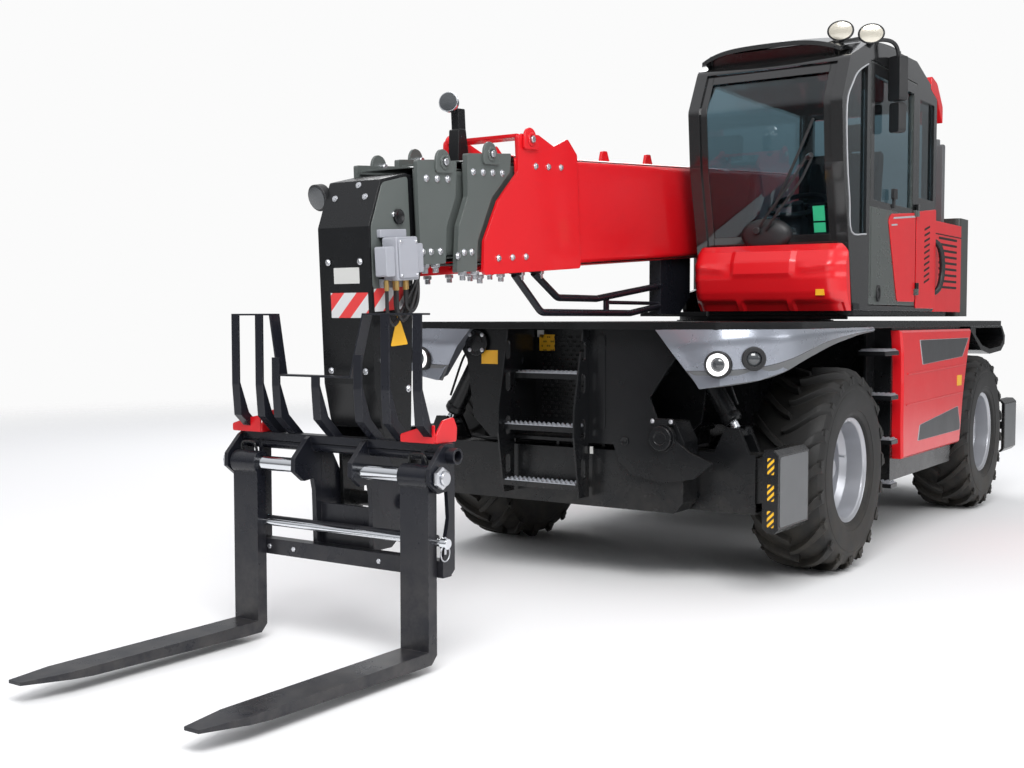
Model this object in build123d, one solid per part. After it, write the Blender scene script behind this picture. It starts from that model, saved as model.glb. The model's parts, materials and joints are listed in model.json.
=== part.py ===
from build123d import *
import os
from math import atan2, cos, degrees, hypot, radians, sin, tan

# Rotating telehandler with a four-section boom and pallet forks.
# +Z is up, the machine faces -Y, and +X is its left side.
# The sizes below are measured from the ground under the slewing axis.
# The whole machine is then moved along Y so that the origin is in the middle of its length.
# All sizes are millimetres.

# Overall sizes
WHEELBASE = 3010
OVERALL_WIDTH = 2550
DECK_TOP = 1450
CAB_HEIGHT = 3130
RUNNING_GAP = 6

# Tyres and rims
TYRE_RADIUS = 593
TYRE_WIDTH = 445
BEAD_RADIUS = 286
FLANGE_RADIUS = 304
RIM_WALL = 9
SEAT_GAP = 0.3

# Steering
KINGPIN_OFFSET = 160
KINGPIN_RADIUS = 32
PIN_GAP = 0.05
SPINDLE_RADIUS = 60
SPINDLE_END = 58

# Chassis
FRAME_HALF_WIDTH = 400
FRAME_WALL = 20
FRAME_BOTTOM = 500
FRAME_TOP = 1300
BULKHEAD_PAD = 22
DECK_THICK = 40
FRONT_Y = -2690
REAR_Y = 2620
COVER_HINGES = (-420, 820)
DECK_HALF = 1250

# Ladders
LADDER_X = -110
LADDER_HALF = 245
LADDER_BACK_Y = -2370
LADDER_STEP_Z = 800
LADDER_REACH = 2760

# Stabilizers
ARM_FRONT_FACE = 2575
ARM_WIDTH = 170
ARM_HEIGHT = 320
ARM_WALL = 12
ARM_PLANE_GAP = 20
ARM_PIVOT_X = 600
ARM_PIVOT_Z = 830
ARM_MID_Z = 585
ARM_END_X = 1040
LEG_GAP = 6
LEG_WALL = 14
FOOT_SIZE = 410
FOOT_THICK = 22
FOOT_PIN_OFFSET = 92
FOOT_FACE_X = 1258
STAB_BARREL_RADIUS = 52
STAB_ROD_RADIUS = 26
STAB_MOUNT_X = 610
STAB_MOUNT_Z = 1345
STAB_EYE_X = 905
STAB_EYE_Z = 850
STAB_EYE_PIN = 14
STAB_EYE_BORE = 24

# Turret
SLEW_RADIUS = 560
SLEW_HEIGHT = 60
TURRET_TOP = 1515
TURRET_FLOOR_THICK = 30
TURRET_PLATE = 30
BOOM_X = -25
PIVOT_Y = 1500
PIVOT_Z = 2350
BOOM_SLOPE = 4
LIFT_BASE_Y = 1230
LIFT_BASE_Z = 1925
LIFT_EYE_Y = -462
LIFT_EYE_Z = 1742
LIFT_EYE_PIN = 50
LIFT_BARREL_RADIUS = 88
LIFT_ROD_RADIUS = 60

# Boom sections, from the base outwards
SECTION_WIDTHS = (440, 388, 336, 284)
SECTION_TOPS = (270, 232, 196, 160)
SECTION_BOTTOMS = (-300, -262, -226, -190)
SECTION_WALL = 9
SECTION_STARTS = (-230, 120, 240, 360)
SECTION_ENDS = (4900, 5300, 5640, 5700)
COLLAR_THICK = 14
HEAD_WIDTH = 295
HEAD_PLATE = 20
TILT_PIVOT_U = 5830
TILT_PIVOT_W = -1300
TILT_PIN_RADIUS = 35

# Forks and carriage
FORK_LENGTH = 1200
FORK_WIDTH = 150
FORK_THICK = 55
FORK_TOP = 92
FORK_FACE_Y = -4553
FORK_SPREAD = 982
SHAFT_RADIUS = 33
SHAFT_Y = -4522
SHAFT_Z = 815
FRAME_SPAN = 1190
FRAME_BACK_Y = -4412
HANGER_THICK = 24
GUARD_TOP = 1490

# Cab
CAB_INNER_X = 290
CAB_OUTER_X = 1240
CAB_BACK_Y = 170
CAB_WALL = 45
DOOR_FRONT_Y = -1200
DOOR_BACK_Y = -290
DOOR_THICK = 40
DOOR_GAP = 6
HINGE_OFFSET = 15
SILL_Z = 2170

CAB_FLOOR = TURRET_TOP + SEAT_GAP
HALF_TRACK = OVERALL_WIDTH / 2 - TYRE_WIDTH / 2
AXLE_Y = WHEELBASE / 2
KINGPIN_X = HALF_TRACK - KINGPIN_OFFSET
REAR_PLANE = -ARM_FRONT_FACE + ARM_WIDTH + ARM_PLANE_GAP
BULKHEAD_BACK_Y = REAR_PLANE + ARM_WIDTH + RUNNING_GAP
ORIGIN_SHIFT = (FORK_LENGTH - FORK_FACE_Y - LADDER_REACH) / 2


# Plain shapes that the pieces are made of

def block(x0, x1, y0, y1, z0, z1):
    """A block between two corners."""
    return Pos((x0 + x1) / 2, (y0 + y1) / 2, (z0 + z1) / 2) * Box(abs(x1 - x0), abs(y1 - y0), abs(z1 - z0))


def bar_x(radius, x0, x1, y, z):
    """A round bar along X."""
    return Pos((x0 + x1) / 2, y, z) * Rot(0, 90, 0) * Cylinder(radius, abs(x1 - x0))


def bar_y(radius, y0, y1, x, z):
    """A round bar along Y."""
    return Pos(x, (y0 + y1) / 2, z) * Rot(90, 0, 0) * Cylinder(radius, abs(y1 - y0))


def bar_z(radius, z0, z1, x, y):
    """A round bar along Z."""
    return Pos(x, y, (z0 + z1) / 2) * Cylinder(radius, abs(z1 - z0))


def outline(points, radius=0):
    """A flat face through points, with its corners rounded by one radius."""
    face = make_face(Polyline(*points, close=True))
    return fillet(face.vertices(), radius) if radius else face


def side_plate(points, x0, x1, radius=0):
    """A plate with its outline given as (y, z) points, between two X places."""
    return extrude(Plane.YZ.offset(x0) * outline(points, radius), x1 - x0)


def front_plate(points, y0, y1, radius=0):
    """A plate with its outline given as (x, z) points, from y0 back to y1."""
    plane = Plane(origin=(0, y1, 0), x_dir=(1, 0, 0), z_dir=(0, -1, 0))
    return extrude(plane * outline(points, radius), y1 - y0)


def floor_plate(points, z0, z1, radius=0):
    """A plate with its outline given as (x, y) points, between two heights."""
    return extrude(Plane.XY.offset(z0) * outline(points, radius), z1 - z0)


def bent_tube(points, radius, bend):
    """A round tube that follows points, with one bend radius."""
    path = FilletPolyline(*points, radius=bend)
    start = Plane(origin=path @ 0, z_dir=path % 0)
    return sweep(start * Circle(radius), path=path)


def mirror_x(part):
    return mirror(part, about=Plane.YZ)


def mirror_y(part):
    return mirror(part, about=Plane.XZ)


def joined(*parts):
    """One solid from several that touch."""
    whole = parts[0]
    for part in parts[1:]:
        whole = whole + part
    return whole


# Wheels, made at the origin with the axle along X and the outer side towards +X

def make_tyre():
    half = TYRE_WIDTH / 2
    tread = half - 28
    gap = 1.3 * SEAT_GAP
    profile = make_face(
        Polyline(
            (half - 50 - gap, BEAD_RADIUS + gap),
            (half - 42 - gap, FLANGE_RADIUS - 2 + gap),
            (half - 32, FLANGE_RADIUS + 2 * gap),
            (half - 12, BEAD_RADIUS + 60),
            (half, TYRE_RADIUS - 130),
            (half - 6, TYRE_RADIUS - 55),
            (tread, TYRE_RADIUS - 8),
            (tread - 60, TYRE_RADIUS),
            (-tread + 60, TYRE_RADIUS),
            (-tread, TYRE_RADIUS - 8),
            (-half + 6, TYRE_RADIUS - 55),
            (-half, TYRE_RADIUS - 130),
            (-half + 12, BEAD_RADIUS + 60),
            (-half + 32, FLANGE_RADIUS + 2 * gap),
            (-half + 42 + gap, FLANGE_RADIUS - 2 + gap),
            (-half + 50 + gap, BEAD_RADIUS + gap),
            close=True,
        )
    )
    return revolve(profile, Axis.X)


def make_rim():
    half = TYRE_WIDTH / 2 - 50
    bead = BEAD_RADIUS
    well = bead - 40
    wall = RIM_WALL
    barrel = revolve(
        make_face(
            Polyline(
                (-half - 8, FLANGE_RADIUS - 2),
                (-half, bead),
                (-half + 70, bead),
                (-half + 100, well),
                (half - 130, well),
                (half - 100, bead),
                (half, bead),
                (half + 8, FLANGE_RADIUS - 2),
                (half + 16, FLANGE_RADIUS),
                (half + 8, bead - 4),
                (half + 2, bead - wall),
                (half - 96, bead - wall),
                (half - 126, well - wall),
                (-half + 96, well - wall),
                (-half + 66, bead - wall),
                (-half - 2, bead - wall),
                (-half - 8, bead - 4),
                (-half - 16, FLANGE_RADIUS),
                close=True,
            )
        ),
        Axis.X,
    )
    disc_x = 20
    edge = well - wall / 2
    disc = revolve(
        make_face(
            Polyline(
                (disc_x, 110),
                (disc_x, 190),
                (disc_x - 25, 215),
                (disc_x - 25, edge),
                (disc_x - 39, edge),
                (disc_x - 39, 205),
                (disc_x - 14, 182),
                (disc_x - 14, 110),
                close=True,
            )
        ),
        Axis.X,
    )
    hub = bar_x(178, -18, 7, 0, 0) + bar_x(108, -54, 7, 0, 0)
    hub += bar_x(84, 6, 74, 0, 0) + bar_x(50, 73, 92, 0, 0)
    hub -= bar_x(SPINDLE_RADIUS + PIN_GAP, -60, SPINDLE_END + RUNNING_GAP, 0, 0)
    return joined(barrel, disc, hub)


def make_knuckle():
    """Steering knuckle of a left wheel with the spindle that the hub turns on, wheel centre at the origin."""
    king = -KINGPIN_OFFSET
    spindle = bar_x(SPINDLE_RADIUS, -62, SPINDLE_END, 0, 0)
    body = bar_x(120, king + 62, -60, 0, 0)
    yoke = block(king - 62, king + 80, -95, 95, -150, 150) - block(king - 80, king + 62, -110, 110, -112, 112)
    pins = bar_z(KINGPIN_RADIUS, -150, -88, king, 0) + bar_z(KINGPIN_RADIUS, 88, 150, king, 0)
    steer_arm = block(king - 30, king + 90, 90, 190, -30, 0)
    return joined(spindle, body, yoke, pins, steer_arm)


def make_axle():
    """Axle beam along X with a fork at each end that the kingpins turn in."""
    king = KINGPIN_X
    beam = bar_x(85, -king + 180, king - 180, 0, 0)
    case = Pos(0, 0, 0) * Sphere(190)
    ends = []
    for side in (-1, 1):
        eye = bar_z(62, -86, 86, side * king, 0)
        neck = block(side * (king - 190), side * (king - 20), -52, 52, -82, 82)
        bore = bar_z(KINGPIN_RADIUS + PIN_GAP, -90, 90, side * king, 0)
        ends.append(eye + neck - bore)
    links = block(-330, -270, -70, 70, 60, 190) + block(270, 330, -70, 70, 60, 190)
    steer_rod = bar_x(22, -330, 330, 165, -20) + block(-60, 60, 90, 170, -45, 5)
    return joined(beam, case, *ends, links, steer_rod)


# Chassis

def make_frame():
    """Box frame with the bays that carry the axles."""
    w, t = FRAME_HALF_WIDTH, FRAME_WALL
    end_y = -BULKHEAD_BACK_Y - BULKHEAD_PAD - SEAT_GAP
    arch = (FRAME_BOTTOM + 60, FRAME_BOTTOM)
    rail = side_plate(
        [
            (-end_y, 1290), (-end_y, 620), (-AXLE_Y - 330, arch[0]), (-AXLE_Y - 210, 815),
            (-AXLE_Y + 210, 815),
            (-AXLE_Y + 330, arch[1]), (AXLE_Y - 330, arch[1]), (AXLE_Y - 210, 815), (AXLE_Y + 210, 815),
            (AXLE_Y + 330, arch[0]), (end_y, 620), (end_y, 1290),
        ],
        w - t,
        w,
    )
    frame = rail + mirror_x(rail)
    frame += block(-w, w, -900, 900, FRAME_BOTTOM, FRAME_BOTTOM + t)
    frame += block(-w, w, -end_y, end_y, FRAME_TOP - 30, FRAME_TOP)
    for y in (-AXLE_Y - 240, -AXLE_Y + 240, AXLE_Y - 240, AXLE_Y + 240):
        frame += block(-w, w, y - 10, y + 10, 815, FRAME_TOP)
    for y in (-AXLE_Y, AXLE_Y):
        for x in (-300, 300):
            frame += block(x - 60, x + 60, y - 70, y + 70, TYRE_RADIUS + 190 + SEAT_GAP, 835)
        frame += block(-w, w, y - 230, y + 230, 815, 835)
    return frame


def make_bulkhead():
    """End plates that hold the pins of both stabilizer arms, with the recess of the ladder between them."""
    top = DECK_TOP - DECK_THICK - SEAT_GAP
    front_y = -ARM_FRONT_FACE - RUNNING_GAP
    back_y = BULKHEAD_BACK_Y
    px, pz = ARM_PIVOT_X, ARM_PIVOT_Z
    plate_xz = [
        (-735, top), (-735, pz + 470), (-690, pz + 400), (-640, pz + 60), (-520, pz - 50),
        (300, pz - 50), (330, 690),
        (420, 620), (px, 590), (780, 620), (890, 710), (760, 760), (px + 60, pz), (px - 40, pz + 110),
        (px - 80, pz + 210),
        (px + 50, top - 180), (735, top - 60), (735, top),
    ]
    front = front_plate(plate_xz, front_y - 20, front_y)
    back = mirror_x(front_plate(plate_xz, back_y, back_y + 16))
    x0, x1 = LADDER_X - LADDER_HALF - 10 - SEAT_GAP, LADDER_X + LADDER_HALF + 10 + SEAT_GAP
    front -= block(x0, x1, front_y - 30, front_y + 10, LADDER_STEP_Z, top + 10)
    recess = block(x0 - 6, x1 + 6, LADDER_BACK_Y + SEAT_GAP, LADDER_BACK_Y + 8, LADDER_STEP_Z - 10, top)
    floor_z = LADDER_STEP_Z - SEAT_GAP
    recess += block(x0 - 6, x1 + 6, front_y - 5, LADDER_BACK_Y + 6, LADDER_STEP_Z - 10, floor_z)
    bulkhead = front + back + recess
    bulkhead += block(-520, 520, back_y + 10, back_y + BULKHEAD_PAD, 620, FRAME_TOP)
    for x in (-1, 1):
        bulkhead += block(x * 560, x * 735, front_y - 10, back_y + 8, top - 12, top)
    bulkhead += block(-600, 600, LADDER_BACK_Y + 2, back_y + 8, top - 12, top)
    split = REAR_PLANE - ARM_PLANE_GAP / 2
    bulkhead += bar_y(45, front_y - 40, split - 3, px, pz)
    bulkhead += bar_y(45, split + 3, back_y + 14, -px, pz)
    bulkhead += bar_y(75, front_y - 34, front_y - 5, px, pz)
    bulkhead += bar_y(60, front_y - 34, front_y - 5, -STAB_MOUNT_X, STAB_MOUNT_Z - 15)
    eye = STAB_BARREL_RADIUS + 6
    for plane, side in ((REAR_PLANE, 1), (-ARM_FRONT_FACE, -1)):
        mid = plane + ARM_WIDTH / 2
        edges = ((plane - RUNNING_GAP - 10, mid - eye), (mid + eye, plane + ARM_WIDTH + RUNNING_GAP + 10))
        for y0, y1 in edges:
            mount_x0, mount_x1 = side * (STAB_MOUNT_X - 55), side * (STAB_MOUNT_X + 60)
            bulkhead += block(mount_x0, mount_x1, y0, y1, STAB_MOUNT_Z - 55, top - 6)
        bulkhead += bar_y(24, mid - eye - 10, mid + eye + 10, side * STAB_MOUNT_X, STAB_MOUNT_Z)
    return bulkhead


def make_deck():
    """Deck plate over the frame and the wheels, open over the slewing ring."""
    half = DECK_HALF
    front, rear = FRONT_Y, REAR_Y
    deck = floor_plate(
        [
            (half, front + 400), (960, front), (-960, front), (-half, front + 400),
            (-half, rear - 560), (-940, rear), (940, rear), (half, rear - 560),
        ],
        DECK_TOP - DECK_THICK,
        DECK_TOP,
        40,
    )
    return deck - bar_z(SLEW_RADIUS + 20, 1300, 1500, 0, 0)


def make_fender():
    """Black fender box under the rear left corner of the deck, open on its outer side."""
    top = DECK_TOP - DECK_THICK - SEAT_GAP
    shape = [
        (1150, top), (1150, 1385), (1480, 1225), (1740, 1190), (2110, 1208), (2230, 1265),
        (2240, 1330), (2130, top),
    ]
    hollow = [
        (1300, top - 12), (1300, 1345), (1500, 1262), (1745, 1228), (2095, 1245), (2180, 1290),
        (2180, 1330),
        (2105, top - 12),
    ]
    return side_plate(shape, 760, DECK_HALF - 10, 10) - side_plate(hollow, 800, DECK_HALF + 10, 8)


def make_slew_ring():
    """Fixed half of the slewing ring on its round base."""
    base = bar_z(SLEW_RADIUS - 30, FRAME_TOP + SEAT_GAP, 1420, 0, 0)
    base -= bar_z(SLEW_RADIUS - 150, 1290, 1430, 0, 0)
    ring = bar_z(SLEW_RADIUS, 1400, 1400 + SLEW_HEIGHT, 0, 0) - bar_z(SLEW_RADIUS - 90, 1390, 1500, 0, 0)
    return base + ring


def make_lamp_housings():
    """Silver housings with the head lamps, at the two front corners under the deck."""
    top = DECK_TOP - DECK_THICK - SEAT_GAP
    f = FRONT_Y
    body = floor_plate(
        [
            (600, f + 10), (965, f + 15), (1130, f + 110), (1215, f + 240), (1248, f + 380),
            (1258, f + 740), (1258, -1180),
            (1150, -1180), (1150, f + 620), (1090, f + 190), (950, f + 82), (600, f + 82),
        ],
        1080,
        top,
        10,
    )
    body -= front_plate([(500, 1500), (625, 1420), (855, 1095), (880, 1000), (400, 1000)], -2900, -1000)
    under = [(800, 1100), (850, 1102), (1150, 1155), (1290, 1230), (1290, 1000), (800, 1000)]
    body -= front_plate(under, -2900, -2450)
    body -= side_plate(
        [
            (-2900, 1085), (-2670, 1105), (-2550, 1160), (-2310, 1235), (-1870, 1320), (-1180, 1402),
            (-1100, 1402), (-1100, 1000), (-2900, 1000),
        ],
        300,
        1400,
    )
    return Compound([body, mirror_x(body)])


def make_end_ladder():
    """Ladder at the end of the machine: two cheeks with openings and three treads."""
    x0, x1 = LADDER_X - LADDER_HALF, LADDER_X + LADDER_HALF
    top = DECK_TOP - DECK_THICK - 2 * SEAT_GAP
    face = -ARM_FRONT_FACE - RUNNING_GAP - 20 - SEAT_GAP
    cheek = side_plate(
        [
            (-2705, 480), (-LADDER_REACH, 820), (2 - LADDER_REACH, 960), (-2662, top),
            (LADDER_BACK_Y, top), (LADDER_BACK_Y, LADDER_STEP_Z),
            (face, LADDER_STEP_Z), (face, 480),
        ],
        x1,
        x1 + 10,
    )
    for z in (640, 860, 1110, 1290):
        cheek -= Pos(x1, -2665, z) * Rot(0, 90, 0) * extrude(SlotOverall(110, 46), 60, both=True)
    parts = [cheek, Pos(-2 * LADDER_HALF - 10, 0, 0) * cheek]
    for y0, y1, z in ((-2715, -2615, 552), (-2712, -2606, 870), (-2600, -2470, 1158)):
        parts.append(block(x0 - 2, x1 + 2, y0, y1, z - 30, z))
    return joined(*parts)


def make_side_ladder():
    """Steps on the left between the front wheel and the tank box."""
    outer = OVERALL_WIDTH / 2 - 15
    face = -620 - SEAT_GAP
    parts = [block(outer - 185, outer - 168, -780, face, 390, 1405)]
    for y, z in ((-930, 1264), (-800, 985), (-780, 705), (-780, 430)):
        parts.append(block(outer - 170, outer, y, -655, z - 26, z))
    return joined(*parts)


def make_side_boxes():
    """Tank box on the left and engine bay on the right, hung from the frame rails."""
    inner = FRAME_HALF_WIDTH + SEAT_GAP
    outer = OVERALL_WIDTH / 2 - 75
    top = DECK_TOP - DECK_THICK - SEAT_GAP
    outline_yz = [(-620, top), (-620, 430), (770, 430), (800, 640), (850, 900), (1000, 1300), (1000, top)]
    ring = bar_z(SLEW_RADIUS + 10, FRAME_TOP - 40, 1500, 0, 0)
    tank = side_plate(outline_yz, inner, outer) - ring
    bay = side_plate(outline_yz, -outer, -inner) - ring
    cavity = [(-600, FRAME_TOP - 60), (-600, 450), (752, 450), (782, 645), (832, 905), (960, FRAME_TOP - 60)]
    bay -= side_plate(cavity, -outer - 10, -inner - 20)
    bay = joined(bay, *[mirror_x(cover_hinge(y, False)) for y in COVER_HINGES])
    return Compound([tank, bay])


def make_engine():
    """Engine as one plain block inside its bay."""
    return block(-1050, -520, -500, 600, 450 + SEAT_GAP, 1150)


def make_left_cover():
    """Red cover of the tank box."""
    outer = OVERALL_WIDTH / 2
    cover = side_plate(
        [
            (-640, 1392), (-600, 1250), (-588, 1050), (-590, 760), (-575, 570), (775, 570), (810, 700),
            (850, 880), (940, 1130), (1060, 1392),
        ],
        outer - 75 + SEAT_GAP,
        outer - 5,
    )
    return chamfer(cover.faces().sort_by(Axis.X)[-1].edges(), 14)


def cover_hinge(y, on_cover):
    """Hinge along the top edge of the cover: its knuckle, or the two ears and the pin on the bay."""
    x, z = OVERALL_WIDTH / 2 - 25, 1400
    if on_cover:
        knuckle = bar_y(7, y - 36, y + 36, x, z) + block(x - 7, x + 7, y - 36, y + 36, 1385, z)
        return knuckle - bar_y(4 + PIN_GAP, y - 40, y + 40, x, z)
    ears = bar_y(4, y - 46, y + 46, x, z)
    for ear_y in (y - 42, y + 42):
        ears += block(OVERALL_WIDTH / 2 - 78, x + 5, ear_y - 4, ear_y + 4, 1395, 1405)
    return ears


def make_engine_cover():
    """Cover over the engine bay on the right, hung from its top edge."""
    return mirror_x(joined(make_left_cover(), *[cover_hinge(y, True) for y in COVER_HINGES]))


# Stabilizers. Each is made for the front left corner.
# Its arm turns on the right-hand pin and its foot is on the left.

def make_arm(y0):
    z0, z1 = ARM_MID_Z - ARM_HEIGHT / 2, ARM_MID_Z + ARM_HEIGHT / 2
    y1 = y0 + ARM_WIDTH
    px, pz = -ARM_PIVOT_X, ARM_PIVOT_Z
    root = front_plate(
        [
            (px - 110, z0 + 60), (px - 60, z0), (px + 300, z0), (px + 300, z1), (px + 110, pz + 20),
            (px + 60, pz + 90), (px - 60, pz + 90), (px - 115, pz - 20),
        ],
        y0,
        y1,
        18,
    )
    arm = root + block(px + 280, ARM_END_X, y0, y1, z0, z1)
    wall = ARM_WALL
    arm -= block(px + 160, ARM_END_X + 10, y0 + wall, y1 - wall, z0 + wall, z1 - wall)
    arm -= bar_y(45 + PIN_GAP, y0 - 10, y1 + 10, px, pz)
    for y in (y0 + 14, y1 - 14):
        arm += front_plate(
            [
                (STAB_EYE_X - 110, z1 - 5), (STAB_EYE_X - 36, STAB_EYE_Z + 34),
                (STAB_EYE_X + 36, STAB_EYE_Z + 34), (STAB_EYE_X + 100, z1 - 5),
            ],
            y - 14,
            y + 14,
        )
    return arm + bar_y(STAB_EYE_PIN, y0 + 20, y1 - 20, STAB_EYE_X, STAB_EYE_Z)


def make_leg(y0):
    gap = ARM_WALL + LEG_GAP
    z0, z1 = ARM_MID_Z - ARM_HEIGHT / 2 + gap, ARM_MID_Z + ARM_HEIGHT / 2 - gap
    y1 = y0 + ARM_WIDTH - gap
    y0 = y0 + gap
    mid_y, mid_z = (y0 + y1) / 2, ARM_MID_Z
    x0, x1 = -ARM_PIVOT_X + 180, ARM_END_X + 45
    bevel_x, bevel_z = x1 - 235, mid_z - 92
    wall = LEG_WALL
    leg = front_plate([(x0, z0), (bevel_x, z0), (x1, bevel_z), (x1, z1), (x0, z1)], y0, y1)
    leg -= front_plate(
        [
            (x0 - 10, z0 + wall), (bevel_x - 3, z0 + wall), (x1 - wall, bevel_z + wall - 3),
            (x1 - wall, z1 - wall),
            (x0 - 10, z1 - wall),
        ],
        y0 + wall,
        y1 - wall,
    )
    pin_x = ARM_END_X + FOOT_PIN_OFFSET
    for y in (mid_y - 40, mid_y + 40):
        lug = front_plate(
            [
                (ARM_END_X + 40, mid_z - 70), (pin_x + 30, mid_z - 36), (pin_x + 30, mid_z + 36),
                (ARM_END_X + 40, mid_z + 70),
            ],
            y - 9,
            y + 9,
            12,
        )
        leg += lug
    leg += bar_y(20, mid_y - 49, mid_y + 49, pin_x, mid_z)
    pad = LEG_GAP - SEAT_GAP
    x0 = -ARM_PIVOT_X + 190
    leg += block(x0, x0 + 60, y0 + 30, y1 - 30, z0 - pad, z1 + pad)
    leg -= block(x0 - 5, x0 + 65, y0 + LEG_WALL, y1 - LEG_WALL, z0 + LEG_WALL, z1 - LEG_WALL)
    return leg


def make_foot(y0):
    """Foot plate, stowed upright at the end of the leg."""
    mid_y = -ARM_FRONT_FACE + ARM_WIDTH + ARM_PLANE_GAP / 2
    pin_y = y0 + ARM_WIDTH / 2
    half = FOOT_SIZE / 2
    z0, z1 = ARM_MID_Z - FOOT_SIZE / 2 - 10, ARM_MID_Z + FOOT_SIZE / 2 + 10
    face = FOOT_FACE_X
    plate = front_plate(
        [
            (face - 78, z1 - 14), (face - 78, z1), (face - 26, z1), (face, z1 - 26), (face, z0 + 26),
            (face - 26, z0),
            (face - 40, z0), (face - 40, z0 + 14), (face - 34, z0 + 14), (face - FOOT_THICK, z0 + 32),
            (face - FOOT_THICK, z1 - 32), (face - 34, z1 - 14),
        ],
        mid_y - half,
        mid_y + half,
    )
    pin_x = ARM_END_X + FOOT_PIN_OFFSET
    knuckle = bar_y(36, pin_y - 30, pin_y + 30, pin_x, ARM_MID_Z)
    knuckle -= bar_y(20 + PIN_GAP, pin_y - 40, pin_y + 40, pin_x, ARM_MID_Z)
    web = block(pin_x + 32, face - FOOT_THICK + 4, pin_y - 28, pin_y + 28, ARM_MID_Z - 30, ARM_MID_Z + 30)
    return joined(plate, knuckle, web)


def stab_cylinder_axis():
    dx, dz = STAB_EYE_X - STAB_MOUNT_X, STAB_EYE_Z - STAB_MOUNT_Z
    return dx, dz, hypot(dx, dz)


def cylinder_parts(length, barrel_radius, rod_radius, eye_width):
    """Barrel and rod of a hydraulic cylinder along +Z, from the base eye at 0 to the rod eye at length."""
    eye = barrel_radius * 0.85
    barrel = bar_z(barrel_radius, eye * 0.9, length - eye * 1.5, 0, 0)
    barrel += bar_y(eye, -eye_width / 2, eye_width / 2, 0, 0)
    barrel -= bar_z(rod_radius + PIN_GAP, eye * 1.4, length, 0, 0)
    rod = bar_z(rod_radius, eye * 1.6, length - eye * 0.6, 0, 0)
    rod += bar_y(eye * 0.8, -eye_width / 2, eye_width / 2, 0, length)
    return barrel, rod


def make_stab_cylinder(y0):
    dx, dz, length = stab_cylinder_axis()
    barrel, rod = cylinder_parts(length, STAB_BARREL_RADIUS, STAB_ROD_RADIUS, 2 * STAB_BARREL_RADIUS + 8)
    mid_y = y0 + ARM_WIDTH / 2
    barrel -= bar_y(24 + PIN_GAP, -60, 60, 0, 0)
    rod -= bar_y(STAB_EYE_BORE, -60, 60, 0, length)
    place = Plane(origin=(STAB_MOUNT_X, mid_y, STAB_MOUNT_Z), x_dir=(0, 1, 0), z_dir=(dx, 0, dz))
    turn = Location(place) * Rot(0, 0, 90)
    return turn * barrel, turn * rod


# Boom, in its own frame: u runs forward along the boom from the pivot, v is +X and w is up

SLOPE = radians(BOOM_SLOPE)
BOOM_ALONG = (0, -cos(SLOPE), -sin(SLOPE))
BOOM_UP = (0, -sin(SLOPE), cos(SLOPE))
BOOM_FRAME = Location(Plane(origin=(BOOM_X, PIVOT_Y, PIVOT_Z), x_dir=BOOM_ALONG, z_dir=BOOM_UP))


def to_boom(y, z):
    """Place in the boom frame (u, w) of a place (y, z) in the machine frame."""
    dy, dz = PIVOT_Y - y, z - PIVOT_Z
    return dy * cos(SLOPE) - dz * sin(SLOPE), dy * sin(SLOPE) + dz * cos(SLOPE)


def boom_plate(points, v0, v1, radius=0):
    """A plate in the boom frame with its outline given as (u, w) points."""
    plane = Plane(origin=(0, v1, 0), x_dir=(1, 0, 0), z_dir=(0, -1, 0))
    return extrude(plane * outline(points, radius), v1 - v0)


def section_tube(n):
    """Hollow box of one boom section, in the boom frame."""
    half = SECTION_WIDTHS[n] / 2
    u0, u1 = SECTION_STARTS[n], SECTION_ENDS[n]
    w0, w1 = SECTION_BOTTOMS[n], SECTION_TOPS[n]
    t = SECTION_WALL
    tube = block(u0, u1, -half, half, w0, w1)
    edges = tube.edges().filter_by(Axis.X)
    tube = fillet(edges, 40)
    if n > 0:
        wide = SECTION_WIDTHS[n - 1] / 2 - t - SEAT_GAP
        tube += block(u0 + 20, u0 + 120, -wide, wide, w0 + 60, w0 + 110)
        tube += block(u0 + 20, u0 + 120, -wide, wide, w1 - 110, w1 - 60)
        low, high = SECTION_BOTTOMS[n - 1] + t + SEAT_GAP, SECTION_TOPS[n - 1] - t - SEAT_GAP
        tube += block(u0 + 20, u0 + 120, -half + 50, half - 50, low, high)
    return tube - block(u0 - 10, u1 + 10, -half + t, half - t, w0 + t, w1 - t)


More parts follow.
